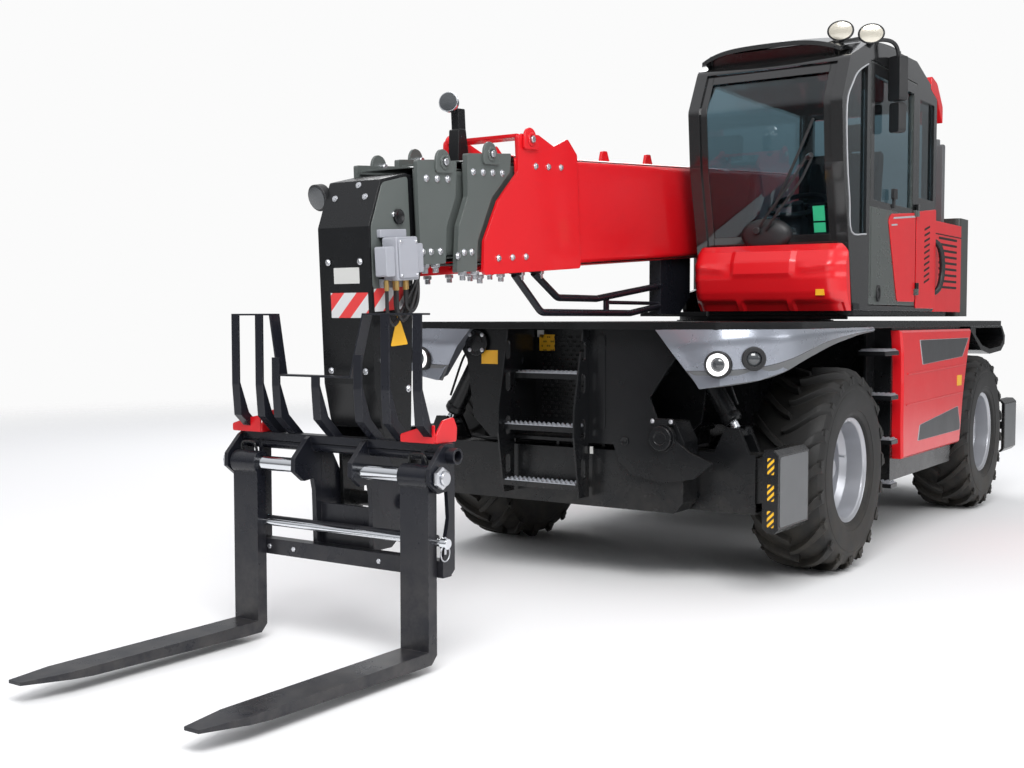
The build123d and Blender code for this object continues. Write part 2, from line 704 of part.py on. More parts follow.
def make_boom_base():
    tube = section_tube(0)
    half = SECTION_WIDTHS[0] / 2
    t = COLLAR_THICK
    collar = boom_plate(
        [
            (4330, 285), (4420, 365), (4560, 320), (4700, 372), (4880, 372), (4900, 180), (5080, 40),
            (5210, -150), (5230, -312), (4330, -312),
        ],
        half - 2,
        half + t,
        25,
    )
    parts = [tube, collar, Pos(0, -2 * half - t + 2, 0) * collar]
    parts.append(block(4700, 4880, -half, half, SECTION_TOPS[0] - 5, 372))
    parts[-1] -= block(4690, 4890, -half + 12, half - 12, SECTION_TOPS[0] - 10, 355)
    for u in (3100, 3640):
        foot = SECTION_TOPS[0] - 5
        parts.append(boom_plate([(u - 60, foot), (u - 26, 350), (u + 26, 350), (u + 60, foot)], -9, 9, 12))
    eye_u, eye_w = to_boom(LIFT_EYE_Y, LIFT_EYE_Z)
    for side in (-1, 1):
        v = side * (LIFT_BARREL_RADIUS + 24)
        lug = boom_plate(
            [
                (eye_u - 200, SECTION_BOTTOMS[0] + 4), (eye_u - 75, eye_w - 60),
                (eye_u + 75, eye_w - 60), (eye_u + 200, SECTION_BOTTOMS[0] + 4),
            ],
            v - 15,
            v + 15,
            20,
        )
        parts.append(lug)
        parts.append(Pos(eye_u, v + side * 7, eye_w) * Rot(90, 0, 0) * Cylinder(LIFT_EYE_PIN, 44))
    pivot = Pos(0, 0, 0) * Rot(90, 0, 0) * Cylinder(110, SECTION_WIDTHS[0])
    bore = Rot(90, 0, 0) * Cylinder(60 + PIN_GAP, 600)
    whole = joined(*parts) + pivot - bore
    wide = half - SECTION_WALL
    low, high = SECTION_BOTTOMS[0] + SECTION_WALL, SECTION_TOPS[0] - SECTION_WALL
    inner = block(150, 5300, -wide, wide, low, high)
    return BOOM_FRAME * (whole - inner)


def make_boom_section(n):
    """One of the two middle sections, with the collar that shows in front of the section around it."""
    tube = section_tube(n)
    half = SECTION_WIDTHS[n] / 2
    outer = SECTION_WIDTHS[n - 1] / 2 - (0 if n == 1 else 6)
    u1 = SECTION_ENDS[n]
    visible = u1 - SECTION_ENDS[n - 1]
    top, bottom = SECTION_TOPS[n], SECTION_BOTTOMS[n]
    start = SECTION_ENDS[n - 1] + 12
    if n == 1:
        points = [
            (start + 20, top + 40), (u1, top + 28), (u1 + 10, 60), (u1 + 90, -80),
            (u1 + 120, bottom - 30), (5262, bottom - 30), (5245, -150), (5115, 55), (start + 40, 180),
        ]
    else:
        points = [
            (start + 30, top + 28), (u1, top + 24), (u1 + 8, bottom - 22), (start + 150, bottom - 22),
            (start + 130, -80), (start + 50, 60),
        ]
    cheek = boom_plate(points, half - 2, outer, 10)
    parts = [tube, cheek, mirror(cheek, about=Plane.XZ)]
    return BOOM_FRAME * joined(*parts)


def make_boom_head():
    """Last section and the tall head that carries the forks."""
    tube = section_tube(3)
    half = HEAD_WIDTH / 2
    t = HEAD_PLATE
    points = [
        (5660, 165), (5852, 133), (5947, -69), (5960, -758), (5927, -955), (5890, -1040),
        (5896, TILT_PIVOT_W - 50),
        (5860, TILT_PIVOT_W - 78), (5800, TILT_PIVOT_W - 78), (5760, TILT_PIVOT_W - 50), (5741, -1150),
        (5700, -719), (5660, -300),
    ]
    cheek = boom_plate(points, half - t, half, 14)
    other = Pos(0, -2 * half + t, 0) * cheek
    inside = half - t + 1
    front = boom_plate(
        [
            (5852, 133), (5947, -69), (5960, -758), (5927, -955), (5914, -955), (5946, -758),
            (5933, -69), (5842, 125),
        ],
        -inside,
        inside,
    )
    top = boom_plate([(5660, 165), (5852, 133), (5850, 121), (5660, 153)], -inside, inside)
    back_points = [(5676, -300), (5716, -719), (5741, -1150), (5729, -1150), (5702, -719), (5662, -300)]
    back = boom_plate(back_points, -inside, inside)
    pin = Pos(TILT_PIVOT_U, 0, TILT_PIVOT_W) * Rot(90, 0, 0) * Cylinder(TILT_PIN_RADIUS, HEAD_WIDTH + 130)
    tube = tube - block(5676, 5720, -200, 200, -500, 300)
    plug = block(5640, 5680, -half + 2, half - 2, SECTION_BOTTOMS[3], SECTION_TOPS[3] - 2)
    plug -= block(5600, 5700, -half + 40, half - 40, SECTION_BOTTOMS[3] + 40, SECTION_TOPS[3] - 40)
    return BOOM_FRAME * joined(cheek, other, front, top, back, plug, tube, pin)


def tilt_pivot():
    """Place (y, z) of the carriage tilt pin in the machine frame."""
    y = PIVOT_Y - TILT_PIVOT_U * cos(SLOPE) - TILT_PIVOT_W * sin(SLOPE)
    z = PIVOT_Z - TILT_PIVOT_U * sin(SLOPE) + TILT_PIVOT_W * cos(SLOPE)
    return y, z


def make_hitch():
    """Quick hitch that hangs on the tilt pin, with plates outside the head."""
    py, pz = tilt_pivot()
    half = HEAD_WIDTH / 2 + RUNNING_GAP
    t = HANGER_THICK
    back = FRAME_BACK_Y + SEAT_GAP
    points = [
        (py + 85, pz + 40), (py + 60, pz - 85), (-4320, pz - 190), (back, pz - 190), (back, 900),
        (-4360, 905),
        (py - 40, pz + 95), (py + 40, pz + 90),
    ]
    plate = side_plate(points, BOOM_X + half, BOOM_X + half + t)
    plate -= bar_x(TILT_PIN_RADIUS + PIN_GAP, BOOM_X, BOOM_X + 400, py, pz)
    other = Pos(-2 * half - t, 0, 0) * plate
    span = half + 2
    cross = block(BOOM_X - span, BOOM_X + span, back, back + 18, pz - 190, 640)
    return joined(plate, other, cross)


def make_fork_frame():
    """Fork carriage: top rail, hook tube, end plates, shaft hangers and lower rail."""
    half = FRAME_SPAN / 2
    x0, x1 = BOOM_X - half, BOOM_X + half
    back = FRAME_BACK_Y
    shank = FORK_FACE_Y + FORK_THICK + RUNNING_GAP
    parts = [
        block(x0 + 2, x1 - 2, back - 66, back, 936, 950),
        block(x0 + 2, x1 - 2, back - 66, back - 52, 915, 950),
        bar_x(26, x0 + 2, x1 - 2, back - 34, 900),
        block(x0 + 2, x1 - 2, shank, back - 20, 395, 465),
        bar_x(18, x0 + 120, x1 - 70, back - 30, 545),
    ]
    for x in (x0, x0 + 110, x1 - 130, x1 - 20):
        parts.append(side_plate(
            [
                (back - 20, 950), (back, 940), (back, 420), (back - 30, 395), (shank, 395),
                (shank, 470), (-4450, 640), (-4460, 760), (-4470, 850), (-4475, 945),
            ],
            x,
            x + 20,
        ))
    inner = HEAD_WIDTH / 2 + RUNNING_GAP
    left_x, right_x = BOOM_X + inner, BOOM_X - inner - HANGER_THICK
    for x, thick in ((x0, 20), (x1 - 20, 20), (right_x, HANGER_THICK), (left_x, HANGER_THICK)):
        hanger = side_plate(
            [
                (back, 948), (back, 456), (back - 30, 456), (-4450, 700), (-4462, SHAFT_Z - 60),
                (SHAFT_Y, SHAFT_Z - 66),
                (SHAFT_Y - 60, SHAFT_Z - 20), (SHAFT_Y - 58, SHAFT_Z + 40), (-4500, 935), (-4475, 948),
            ],
            x,
            x + thick,
        )
        parts.append(hanger)
    return joined(*parts)


def make_fork_shafts():
    """Two bright shafts that the forks hang on, each from an end plate to a middle hanger."""
    outer = FRAME_SPAN / 2 - 20 - SEAT_GAP
    inner = HEAD_WIDTH / 2 + RUNNING_GAP + HANGER_THICK + SEAT_GAP
    right = bar_x(SHAFT_RADIUS, BOOM_X - outer, BOOM_X - inner, SHAFT_Y, SHAFT_Z)
    left = bar_x(SHAFT_RADIUS, BOOM_X + inner, BOOM_X + outer, SHAFT_Y, SHAFT_Z)
    return Compound([right, left])


def make_guard():
    """Load guard of bent straps above the carriage."""
    face = FORK_FACE_Y - 20
    x0, x1 = BOOM_X - 548, BOOM_X + 548
    dip = (BOOM_X - 305, BOOM_X - 258, BOOM_X + 158, BOOM_X + 232)
    back = FRAME_BACK_Y
    straps = []
    tops = (
        (x0, GUARD_TOP), (x0 + 150, GUARD_TOP), (x0 + 252, 1300), (BOOM_X - 60, 1222),
        (BOOM_X + 182, 1320), (x1 - 215, GUARD_TOP), (x1 - 45, GUARD_TOP),
    )
    for x, top in tops:
        strap = side_plate(
            [
                (face, top - 4), (face + 8, top - 4), (face + 8, 1180), (face + 60, 1040),
                (back - 8, 950 + SEAT_GAP),
                (back - 62, 950 + SEAT_GAP), (face + 12, 1030), (face, 1170),
            ],
            x,
            x + 45,
        )
        straps.append(strap)
    rail = front_plate(
        [
            (x0, GUARD_TOP), (dip[0], GUARD_TOP), (dip[1], 1222), (dip[2], 1222), (dip[3], GUARD_TOP),
            (x1, GUARD_TOP),
            (x1, GUARD_TOP - 8), (dip[3] + 6, GUARD_TOP - 8), (dip[2] + 6, 1214), (dip[1] - 6, 1214),
            (dip[0] - 6, GUARD_TOP - 8), (x0, GUARD_TOP - 8),
        ],
        face,
        face + 60,
    )
    return joined(rail, *straps)


def make_fork(x):
    """One pallet fork that hangs on its shaft."""
    half = FORK_WIDTH / 2
    face = FORK_FACE_Y
    tip = face - FORK_LENGTH
    blade = side_plate(
        [
            (face + FORK_THICK, SHAFT_Z - 30), (face, SHAFT_Z - 30), (face, FORK_TOP), (tip, FORK_TOP),
            (tip, FORK_TOP - 13),
            (tip + 300, FORK_TOP - 38), (face - 100, FORK_TOP - FORK_THICK),
            (face + 20, FORK_TOP - FORK_THICK), (face + FORK_THICK, FORK_TOP - 20),
        ],
        x - half,
        x + half,
    )
    taper = floor_plate([(x - half, tip + 200), (x - half - 5, tip - 5), (x - 35, tip - 5)], 0, 200)
    blade -= taper
    blade -= floor_plate([(x + half, tip + 200), (x + half + 5, tip - 5), (x + 35, tip - 5)], 0, 200)
    eye = bar_x(SHAFT_RADIUS + 19, x - half, x + half, SHAFT_Y, SHAFT_Z)
    neck = block(x - half, x + half, face, face + FORK_THICK, SHAFT_Z - 60, SHAFT_Z)
    bore = bar_x(SHAFT_RADIUS + PIN_GAP, x - half - 5, x + half + 5, SHAFT_Y, SHAFT_Z)
    return joined(blade, eye, neck) - bore


# Lift cylinder

def lift_axis():
    dy, dz = LIFT_EYE_Y - LIFT_BASE_Y, LIFT_EYE_Z - LIFT_BASE_Z
    return dy, dz, hypot(dy, dz)


def make_lift_cylinder():
    dy, dz, length = lift_axis()
    barrel, rod = cylinder_parts(length, LIFT_BARREL_RADIUS, LIFT_ROD_RADIUS, 2 * LIFT_BARREL_RADIUS)
    barrel -= bar_y(45 + PIN_GAP, -100, 100, 0, 0)
    rod -= bar_y(LIFT_EYE_PIN + PIN_GAP, -100, 100, 0, length)
    place = Plane(origin=(BOOM_X, LIFT_BASE_Y, LIFT_BASE_Z), x_dir=(1, 0, 0), z_dir=(0, dy, dz))
    turn = Location(place) * Rot(0, 0, 90)
    return turn * barrel, turn * rod


# Turret

def make_turret():
    """Turret floor on the slewing ring, with the two cheeks that carry the boom."""
    gap = 12
    half = SECTION_WIDTHS[0] / 2 + COLLAR_THICK + gap
    t = TURRET_PLATE
    top = TURRET_TOP
    low = top - TURRET_FLOOR_THICK
    z = top - 4
    floor = floor_plate(
        [
            (-620, -640), (250, -640), (250, -1380), (1190, -1380), (1190, 640), (1000, 1262),
            (-1000, 1262), (-620, 640),
        ],
        low,
        top,
        60,
    )
    ring = bar_z(SLEW_RADIUS - 20, 1400 + SLEW_HEIGHT + SEAT_GAP, low + 4, 0, 0)
    ring -= bar_z(SLEW_RADIUS - 130, 1400, low, 0, 0)
    cheek_points = [
        (-560, z), (-560, z + 130), (100, z + 260), (900, PIVOT_Z - 80),
        (PIVOT_Y - 150, PIVOT_Z + 130), (PIVOT_Y + 90, PIVOT_Z + 150),
        (PIVOT_Y + 190, PIVOT_Z + 30), (PIVOT_Y + 150, z + 100), (1240, z),
    ]
    cheek = side_plate(cheek_points, BOOM_X + half, BOOM_X + half + t, 25)
    other = Pos(-2 * half - t, 0, 0) * cheek
    pin = bar_x(60, BOOM_X - half - t - 20, BOOM_X + half + t + 20, PIVOT_Y, PIVOT_Z)
    base_lugs = []
    side = LIFT_BARREL_RADIUS + 9
    for x in (BOOM_X - side - 30, BOOM_X + side):
        base_lugs.append(side_plate(
            [
                (LIFT_BASE_Y - 160, z), (LIFT_BASE_Y - 60, LIFT_BASE_Z + 70),
                (LIFT_BASE_Y + 70, LIFT_BASE_Z + 70), (LIFT_BASE_Y + 170, z),
            ], x, x + 30, 15))
    base_pin = bar_x(45, BOOM_X - side - 10, BOOM_X + side + 10, LIFT_BASE_Y, LIFT_BASE_Z)
    cross = block(BOOM_X - half - 2, BOOM_X + half + 2, 1190, 1240, z, z + 270)
    heel = block(BOOM_X - half - 2, BOOM_X + half + 2, 1240, LIFT_BASE_Y + 190, low, top)
    tail = block(-900, 900, 1220, 1262, z, z + 60)
    return joined(floor, ring, cheek, other, pin, *base_lugs, base_pin, cross, heel, tail)


def make_counterweight():
    """Cast counterweight at the tail of the turret, in two lobes beside the boom."""
    z0, z1 = TURRET_TOP - TURRET_FLOOR_THICK, 2230
    lobe = floor_plate([(330, 1262.3), (1120, 1262.3), (1120, 1500), (900, 1930), (330, 2010)], z0, z1, 40)
    bridge = floor_plate([(-340, 1720), (340, 1720), (340, 2005), (-340, 2005)], z0, 1850)
    return joined(lobe, mirror_x(lobe), bridge)


def make_guard_rail():
    """Two bent tubes that hang under the boom in front of the cab, with their foot pads and rear bracket."""
    x = BOOM_X + 150

    def under(y):
        return PIVOT_Z + SECTION_BOTTOMS[0] / cos(SLOPE) - (PIVOT_Y - y) * tan(SLOPE) - SEAT_GAP

    parts = []
    tubes = ((-3310, -3060, 1500, -2100, 1545), (-3130, -2900, 1579, -2490, 1668))
    for start, bend, level, turn, end_z in tubes:
        points = [(x, start, under(start) - 22), (x, bend, level), (x, turn, level), (x, -1730, end_z)]
        parts.append(bent_tube(points, 19, 90))
        parts.append(side_plate(
            [
                (start - 35, under(start - 35)), (start + 35, under(start + 35)),
                (start + 35, under(start) - 26), (start - 35, under(start) - 14),
            ],
            x - 24,
            x + 24,
        ))
    parts.append(block(x - 8, x + 8, -2400, -2360, 1500, 1600))
    parts.append(bar_y(11, -2370, -1730, x, 1560))
    bracket = [(-1750, 1495), (-1750, under(-1750)), (-1350, under(-1350)), (-1350, 1600), (-1500, 1495)]
    parts.append(side_plate(bracket, x - 60, x + 18))
    return joined(*parts)


# Cab

def cab_profile(grow=0):
    """Side outline (y, z) of the cab, grown outwards by a distance."""
    g = grow
    return [
        (CAB_BACK_Y + g, CAB_FLOOR - g), (CAB_BACK_Y + g, 2980 + g), (-300, CAB_HEIGHT + g),
        (-1180, CAB_HEIGHT - 20 + g),
        (-1560 - g, 2960 + g), (-1690 - g, 2700), (-1660 - g, 2350), (-1570 - g, 1960),
        (-1480 - g, CAB_FLOOR - g),
    ]


def window_outlines():
    """Side outlines (y, z) of the right window and of the left front quarter window."""
    right = [(-1520, 1960), (90, 1960), (90, 2900), (-1380, 2900), (-1600, 2680), (-1590, 2350)]
    quarter = [(-1520, 1960), (-1260, 1960), (-1260, 2960), (-1430, 2890), (-1620, 2680), (-1600, 2350)]
    return right, quarter


def door_hinge(z, on_door):
    """One half of a door hinge: the upper half is on the cab and holds the pin."""
    x, y = CAB_OUTER_X + HINGE_OFFSET, DOOR_BACK_Y + 3
    if on_door:
        half = bar_z(13, z, z + 40, x, y) + block(CAB_OUTER_X - 6, x + 2, y - 42, y - 5, z, z + 40)
        return half - bar_z(8 + PIN_GAP, z - 5, z + 45, x, y)
    half = bar_z(13, z + 40 + SEAT_GAP, z + 80, x, y) + bar_z(8, z, z + 80, x, y)
    return half + block(CAB_OUTER_X - 6, x + 2, y + 5, y + 42, z + 40 + SEAT_GAP, z + 80)


def make_cab_shell():
    """Welded cab frame, hollow, with its window and door openings cut."""
    x0, x1 = CAB_INNER_X, CAB_OUTER_X
    right, quarter = window_outlines()
    shell = side_plate(cab_profile(), x0, x1, 60)
    shell -= side_plate(cab_profile(-CAB_WALL), x0 + CAB_WALL, x1 - CAB_WALL, 40)
    shell -= block(x0 + 70, x1 - 70, -2000, -1250, 1900, 2930)
    shell -= block(x1 - 100, x1 + 20, DOOR_FRONT_Y - DOOR_GAP, DOOR_BACK_Y + DOOR_GAP, CAB_FLOOR + 30, 2990)
    shell -= side_plate(quarter, x1 - 100, x1 + 20)
    shell -= block(x1 - 100, x1 + 20, DOOR_BACK_Y + 70, CAB_BACK_Y - 60, 2260, 2900)
    shell -= side_plate(right, x0 - 20, x0 + 100)
    shell -= block(x0 + 90, x1 - 90, CAB_BACK_Y - 100, CAB_BACK_Y + 50, 2200, 2880)
    return joined(shell, door_hinge(1620, False), door_hinge(2130, False))


def make_cab_windows():
    """Fixed panes, set in the middle of the walls."""
    x0, x1 = CAB_INNER_X, CAB_OUTER_X
    pane, gap = 6, SEAT_GAP
    right, quarter = window_outlines()
    screen = side_plate(cab_profile(-20), x0 + 60, x1 - 60, 60)
    screen -= side_plate(cab_profile(-20 - pane), x0 + 50, x1 - 50, 60)
    screen = screen & block(x0 + 70 + gap, x1 - 70 - gap, -2000, -1250 - gap, 1900 + gap, 2930 - gap)
    panes = [screen]
    for points, x in ((right, x0 + 20), (quarter, x1 - 26)):
        face = offset(outline(points), -gap, kind=Kind.INTERSECTION)
        panes.append(extrude(Plane.YZ.offset(x) * face, pane))
    y0, y1 = DOOR_BACK_Y + 70 + gap, CAB_BACK_Y - 60 - gap
    panes.append(block(x1 - 26, x1 - 20, y0, y1, 2260 + gap, 2900 - gap))
    y0, y1 = CAB_BACK_Y - 26, CAB_BACK_Y - 20
    panes.append(block(x0 + 90 + gap, x1 - 90 - gap, y0, y1, 2200 + gap, 2880 - gap))
    return Compound(panes)


def make_door():
    """Cab door with its window cut."""
    x0, x1 = CAB_OUTER_X - DOOR_THICK, CAB_OUTER_X
    door = block(x0, x1, DOOR_FRONT_Y, DOOR_BACK_Y, CAB_FLOOR + 36, 2984)
    door -= block(x0 - 5, x1 + 5, DOOR_FRONT_Y + 60, DOOR_BACK_Y - 60, SILL_Z, 2920)
    return joined(door, door_hinge(1620, True), door_hinge(2130, True))


def make_door_window():
    x1 = CAB_OUTER_X
    return block(x1 - 23, x1 - 17, DOOR_FRONT_Y + 60.3, DOOR_BACK_Y - 60.3, SILL_Z + 0.3, 2919.7)


def make_cowl():
    """Red moulded cowl under the windscreen."""
    z0, z1 = CAB_FLOOR - 6, 1900
    cowl = side_plate(
        [
            (-1481, z0), (-1600, z0), (-1660, z0 + 70), (-1680, 1700), (-1640, 1840), (-1575, z1),
            (-1556, z1),
        ],
        CAB_INNER_X + 2,
        CAB_OUTER_X - 2,
    )
    cut = side_plate(cab_profile(0.5), CAB_INNER_X - 10, CAB_OUTER_X + 10, 60)
    return cowl - cut


def make_seat():
    """Driver's seat on its plinth."""
    mid = (CAB_INNER_X + CAB_OUTER_X) / 2
    plinth = block(mid - 200, mid + 200, -750, -330, CAB_FLOOR + CAB_WALL + SEAT_GAP, 1830)
    pad = block(mid - 240, mid + 240, -830, -320, 1830, 1950)
    back = side_plate([(-420, 1940), (-300, 1940), (-200, 2560), (-290, 2580)], mid - 230, mid + 230, 30)
    rest = side_plate([(-285, 2600), (-205, 2590), (-185, 2760), (-265, 2770)], mid - 120, mid + 120, 15)
    stem = block(mid - 20, mid + 20, -255, -225, 2540, 2620)
    return joined(plinth, pad, back, stem, rest)


def make_console():
    """Steering column, wheel and dash."""
    mid = (CAB_INNER_X + CAB_OUTER_X) / 2
    floor = CAB_FLOOR + CAB_WALL + SEAT_GAP
    column = side_plate([(-1360, floor), (-1220, floor), (-1130, 2080), (-1230, 2110)], mid - 70, mid + 70, 20)
    wheel = Pos(mid, -1110, 2170) * Rot(25, 0, 0) * Torus(175, 16)
    hub = Pos(mid, -1125, 2140) * Rot(25, 0, 0) * Cylinder(40, 90)
    spoke = Pos(mid, -1110, 2170) * Rot(25, 0, 0) * Box(350, 30, 10)
    return joined(column, hub, spoke, wheel)


def make_rear_hood():
    """Cooler hood on the turret behind the cab."""
    front = CAB_BACK_Y + 12
    shape = [(360, front), (1225, front), (1225, 900), (1130, 1180), (360, 1180)]
    return floor_plate(shape, TURRET_TOP + SEAT_GAP, 2140, 40)


# The corners of the machine: name, mirrored left to right, mirrored front to back
CORNERS = (
    ("front_left", False, False),
    ("front_right", True, False),
    ("rear_left", False, True),
    ("rear_right", True, True),
)


def to_corner(part, flip_x, flip_y):
    if flip_x:
        part = mirror_x(part)
    if flip_y:
        part = mirror_y(part)
    return part


def make_all():
    bulkhead, fender, ladder = make_bulkhead(), make_fender(), make_end_ladder()
    deck_parts = [make_deck(), fender, mirror_x(fender), ladder, mirror_y(ladder), make_side_ladder()]
    nodes = {
        "chassis_frame": Compound([make_frame(), bulkhead, mirror_y(bulkhead), make_slew_ring()]),
        "deck_and_ladders": Compound(deck_parts),
        "lamp_housings": make_lamp_housings(),
        "side_boxes": make_side_boxes(),
        "engine": make_engine(),
        "left_cover": make_left_cover(),
        "engine_cover": make_engine_cover(),
        "turret_frame": make_turret(),
        "counterweight": make_counterweight(),
        "guard_rail": make_guard_rail(),
        "cab_shell": make_cab_shell(),
        "cab_windows": make_cab_windows(),
        "cab_door": make_door(),
        "door_window": make_door_window(),
        "cab_cowl": make_cowl(),
        "seat_and_console": Compound([make_seat(), make_console()]),
        "rear_hood": make_rear_hood(),
        "boom_base": make_boom_base(),
        "boom_section_2": make_boom_section(1),
        "boom_section_3": make_boom_section(2),
        "boom_head": make_boom_head(),
        "fork_frame": Compound([make_hitch(), make_fork_frame(), make_guard()]),
        "fork_shafts": make_fork_shafts(),
        "left_fork": make_fork(BOOM_X + FORK_SPREAD / 2),
        "right_fork": make_fork(BOOM_X - FORK_SPREAD / 2),
    }
    barrel, rod = make_lift_cylinder()
    nodes["lift_barrel"] = barrel
    nodes["lift_rod"] = rod
    axle = Pos(0, 0, TYRE_RADIUS) * make_axle()
    nodes["axles"] = Compound([Pos(0, -AXLE_Y, 0) * mirror_y(axle), Pos(0, AXLE_Y, 0) * axle])
    tyre, rim, knuckle = make_tyre(), make_rim(), make_knuckle()
    for name, flip_x, flip_y in CORNERS:
        place = Pos(HALF_TRACK, -AXLE_Y, TYRE_RADIUS)
        nodes[name + "_tyre"] = to_corner(place * tyre, flip_x, flip_y)
        nodes[name + "_rim"] = to_corner(place * rim, flip_x, flip_y)
        nodes[name + "_knuckle"] = to_corner(place * knuckle, flip_x, flip_y)
        front_plane = flip_x
        y0 = -ARM_FRONT_FACE if front_plane else REAR_PLANE
        stab = name + "_stabilizer_"
        nodes[stab + "arm"] = to_corner(make_arm(y0), flip_x, flip_y)
        nodes[stab + "leg"] = to_corner(make_leg(y0), flip_x, flip_y)
        nodes[stab + "foot"] = to_corner(make_foot(y0), flip_x, flip_y)
        barrel, rod = make_stab_cylinder(y0)
        nodes[stab + "barrel"] = to_corner(barrel, flip_x, flip_y)
        nodes[stab + "rod"] = to_corner(rod, flip_x, flip_y)
    return {name: Pos(0, ORIGIN_SHIFT, 0) * shape for name, shape in nodes.items()}


os.makedirs("parts", exist_ok=True)
for node_name, shape in make_all().items():
    export_step(shape, f"parts/{node_name}.step")
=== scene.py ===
import json
import math
import bmesh
import bpy
import numpy as np
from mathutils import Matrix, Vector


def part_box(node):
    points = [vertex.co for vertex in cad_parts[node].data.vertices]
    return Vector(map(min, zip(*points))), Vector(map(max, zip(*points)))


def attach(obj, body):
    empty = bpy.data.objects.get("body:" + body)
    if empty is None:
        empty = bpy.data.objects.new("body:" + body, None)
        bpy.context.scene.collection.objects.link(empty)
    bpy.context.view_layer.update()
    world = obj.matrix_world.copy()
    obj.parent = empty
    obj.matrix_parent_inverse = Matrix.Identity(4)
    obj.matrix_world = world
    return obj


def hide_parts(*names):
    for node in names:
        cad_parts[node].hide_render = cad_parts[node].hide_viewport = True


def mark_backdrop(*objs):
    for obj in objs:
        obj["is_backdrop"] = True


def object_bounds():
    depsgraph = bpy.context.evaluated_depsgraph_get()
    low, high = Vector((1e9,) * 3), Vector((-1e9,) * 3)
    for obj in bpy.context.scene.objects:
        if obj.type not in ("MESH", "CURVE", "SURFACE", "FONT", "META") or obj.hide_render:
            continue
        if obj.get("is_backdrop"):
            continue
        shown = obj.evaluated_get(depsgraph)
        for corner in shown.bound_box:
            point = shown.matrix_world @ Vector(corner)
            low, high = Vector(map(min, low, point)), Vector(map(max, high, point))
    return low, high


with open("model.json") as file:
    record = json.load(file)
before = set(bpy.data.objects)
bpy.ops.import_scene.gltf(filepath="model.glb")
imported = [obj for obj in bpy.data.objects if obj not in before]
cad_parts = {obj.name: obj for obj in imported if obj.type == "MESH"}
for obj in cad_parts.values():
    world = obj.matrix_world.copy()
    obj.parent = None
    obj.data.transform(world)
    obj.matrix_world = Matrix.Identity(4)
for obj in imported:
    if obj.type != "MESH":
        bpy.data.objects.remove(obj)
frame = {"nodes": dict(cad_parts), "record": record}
nodes = frame["nodes"]
cadLow = np.min([list(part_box(n)[0]) for n in nodes], axis=0)
cadHigh = np.max([list(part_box(n)[1]) for n in nodes], axis=0)

# The camera, fitted to the photo: place, turn to the left, tilt and focal length
view = {"place": (3.693, -7.0875, 1.464), "azimuth": 34.185, "pitch": -2.947, "roll": 0.033, "lens": 44.16}
camData = bpy.data.cameras.new("camera")
cam = bpy.data.objects.new("camera", camData)
bpy.context.scene.collection.objects.link(cam)
cam.location = view["place"]
cam.rotation_euler = [math.radians(turn) for turn in (90 + view["pitch"], view["roll"], view["azimuth"])]
camData.sensor_width = 36
camData.lens = view["lens"]
camData.clip_end = 200
bpy.context.scene.camera = cam
bpy.context.scene.view_settings.view_transform = "Standard"
print("camera set")

# Sizes below are in metres from the ground under the slewing axis. The axis stands this far behind the origin.
slewY = 1.4965
boom = {"x": -0.025, "pivotY": 1.5, "pivotZ": 2.35, "slope": math.radians(4)}
corners = {"front_left": (1, -1), "front_right": (-1, -1), "rear_left": (1, 1), "rear_right": (-1, 1)}
toRight, toRear, acrossBoth = (-1, 1, 1), (1, -1, 1), (-1, -1, 1)  # mirror factors for x, y and z


# Joins parts, each a pair of corners and faces, into one
def merge(*parts):
    verts, faces, base = [], [], 0
    for v, f in parts:
        v = np.asarray(v, float).reshape(-1, 3)
        verts.append(v)
        faces += [np.asarray(face) + base for face in f]
        base += len(v)
    return np.concatenate(verts), faces


# The same part stretched or mirrored by three factors, then moved to a place
def placed(part, factors=(1, 1, 1), place=(0, 0, 0)):
    return part[0] * np.array(factors) + np.array(place), part[1]


# Quads over a grid of points (nu, nv, 3), with its two ends closed by flat faces if it is a tube
def gridShell(points, closeV=True, closeU=False):
    p = np.asarray(points, float)
    nu, nv = p.shape[:2]
    index = np.arange(nu * nv).reshape(nu, nv)
    rows = np.concatenate([index, index[:1]]) if closeU else index
    cols = np.concatenate([rows, rows[:, :1]], 1) if closeV else rows
    quads = np.stack([cols[:-1, :-1], cols[1:, :-1], cols[1:, 1:], cols[:-1, 1:]], -1).reshape(-1, 4)
    caps = [index[0][::-1], index[-1]] if closeV and not closeU else []
    return p.reshape(-1, 3), list(quads) + caps


# Vectors divided by their length
def unit(v):
    v = np.asarray(v, float)
    return v / np.maximum(np.linalg.norm(v, axis=-1, keepdims=True), 1e-12)


# A smooth curve through points: on each span the four-point cubic with unit spacing
def smoothPath(points, steps=8):
    p = np.asarray(points, float)
    q = np.concatenate([[2 * p[0] - p[1]], p, [2 * p[-1] - p[-2]]])
    t = np.linspace(0, 1, steps, endpoint=False)[:, None, None]
    a, b, c, d = q[:-3], q[1:-2], q[2:-1], q[3:]
    spans = 0.5 * (2 * b + (c - a) * t + (2 * a - 5 * b + 4 * c - d) * t**2 + (3 * b - a - 3 * c + d) * t**3)
    return np.concatenate([spans.transpose(1, 0, 2).reshape(-1, p.shape[1]), p[-1:]])


# A round tube: a circle of the radius carried along the smooth path, square to its direction
def tube(path, radius, sides=10, smooth=6):
    p = smoothPath(path, smooth)
    t = unit(np.gradient(p, axis=0))
    n = unit(np.cross(t, np.eye(3)[np.argmin(np.abs(t).mean(0))]))
    a = np.linspace(0, 2 * np.pi, sides, endpoint=False)[None, :, None]
    return gridShell(p[:, None] + radius * (np.cos(a) * n[:, None] + np.sin(a) * np.cross(t, n)[:, None]))


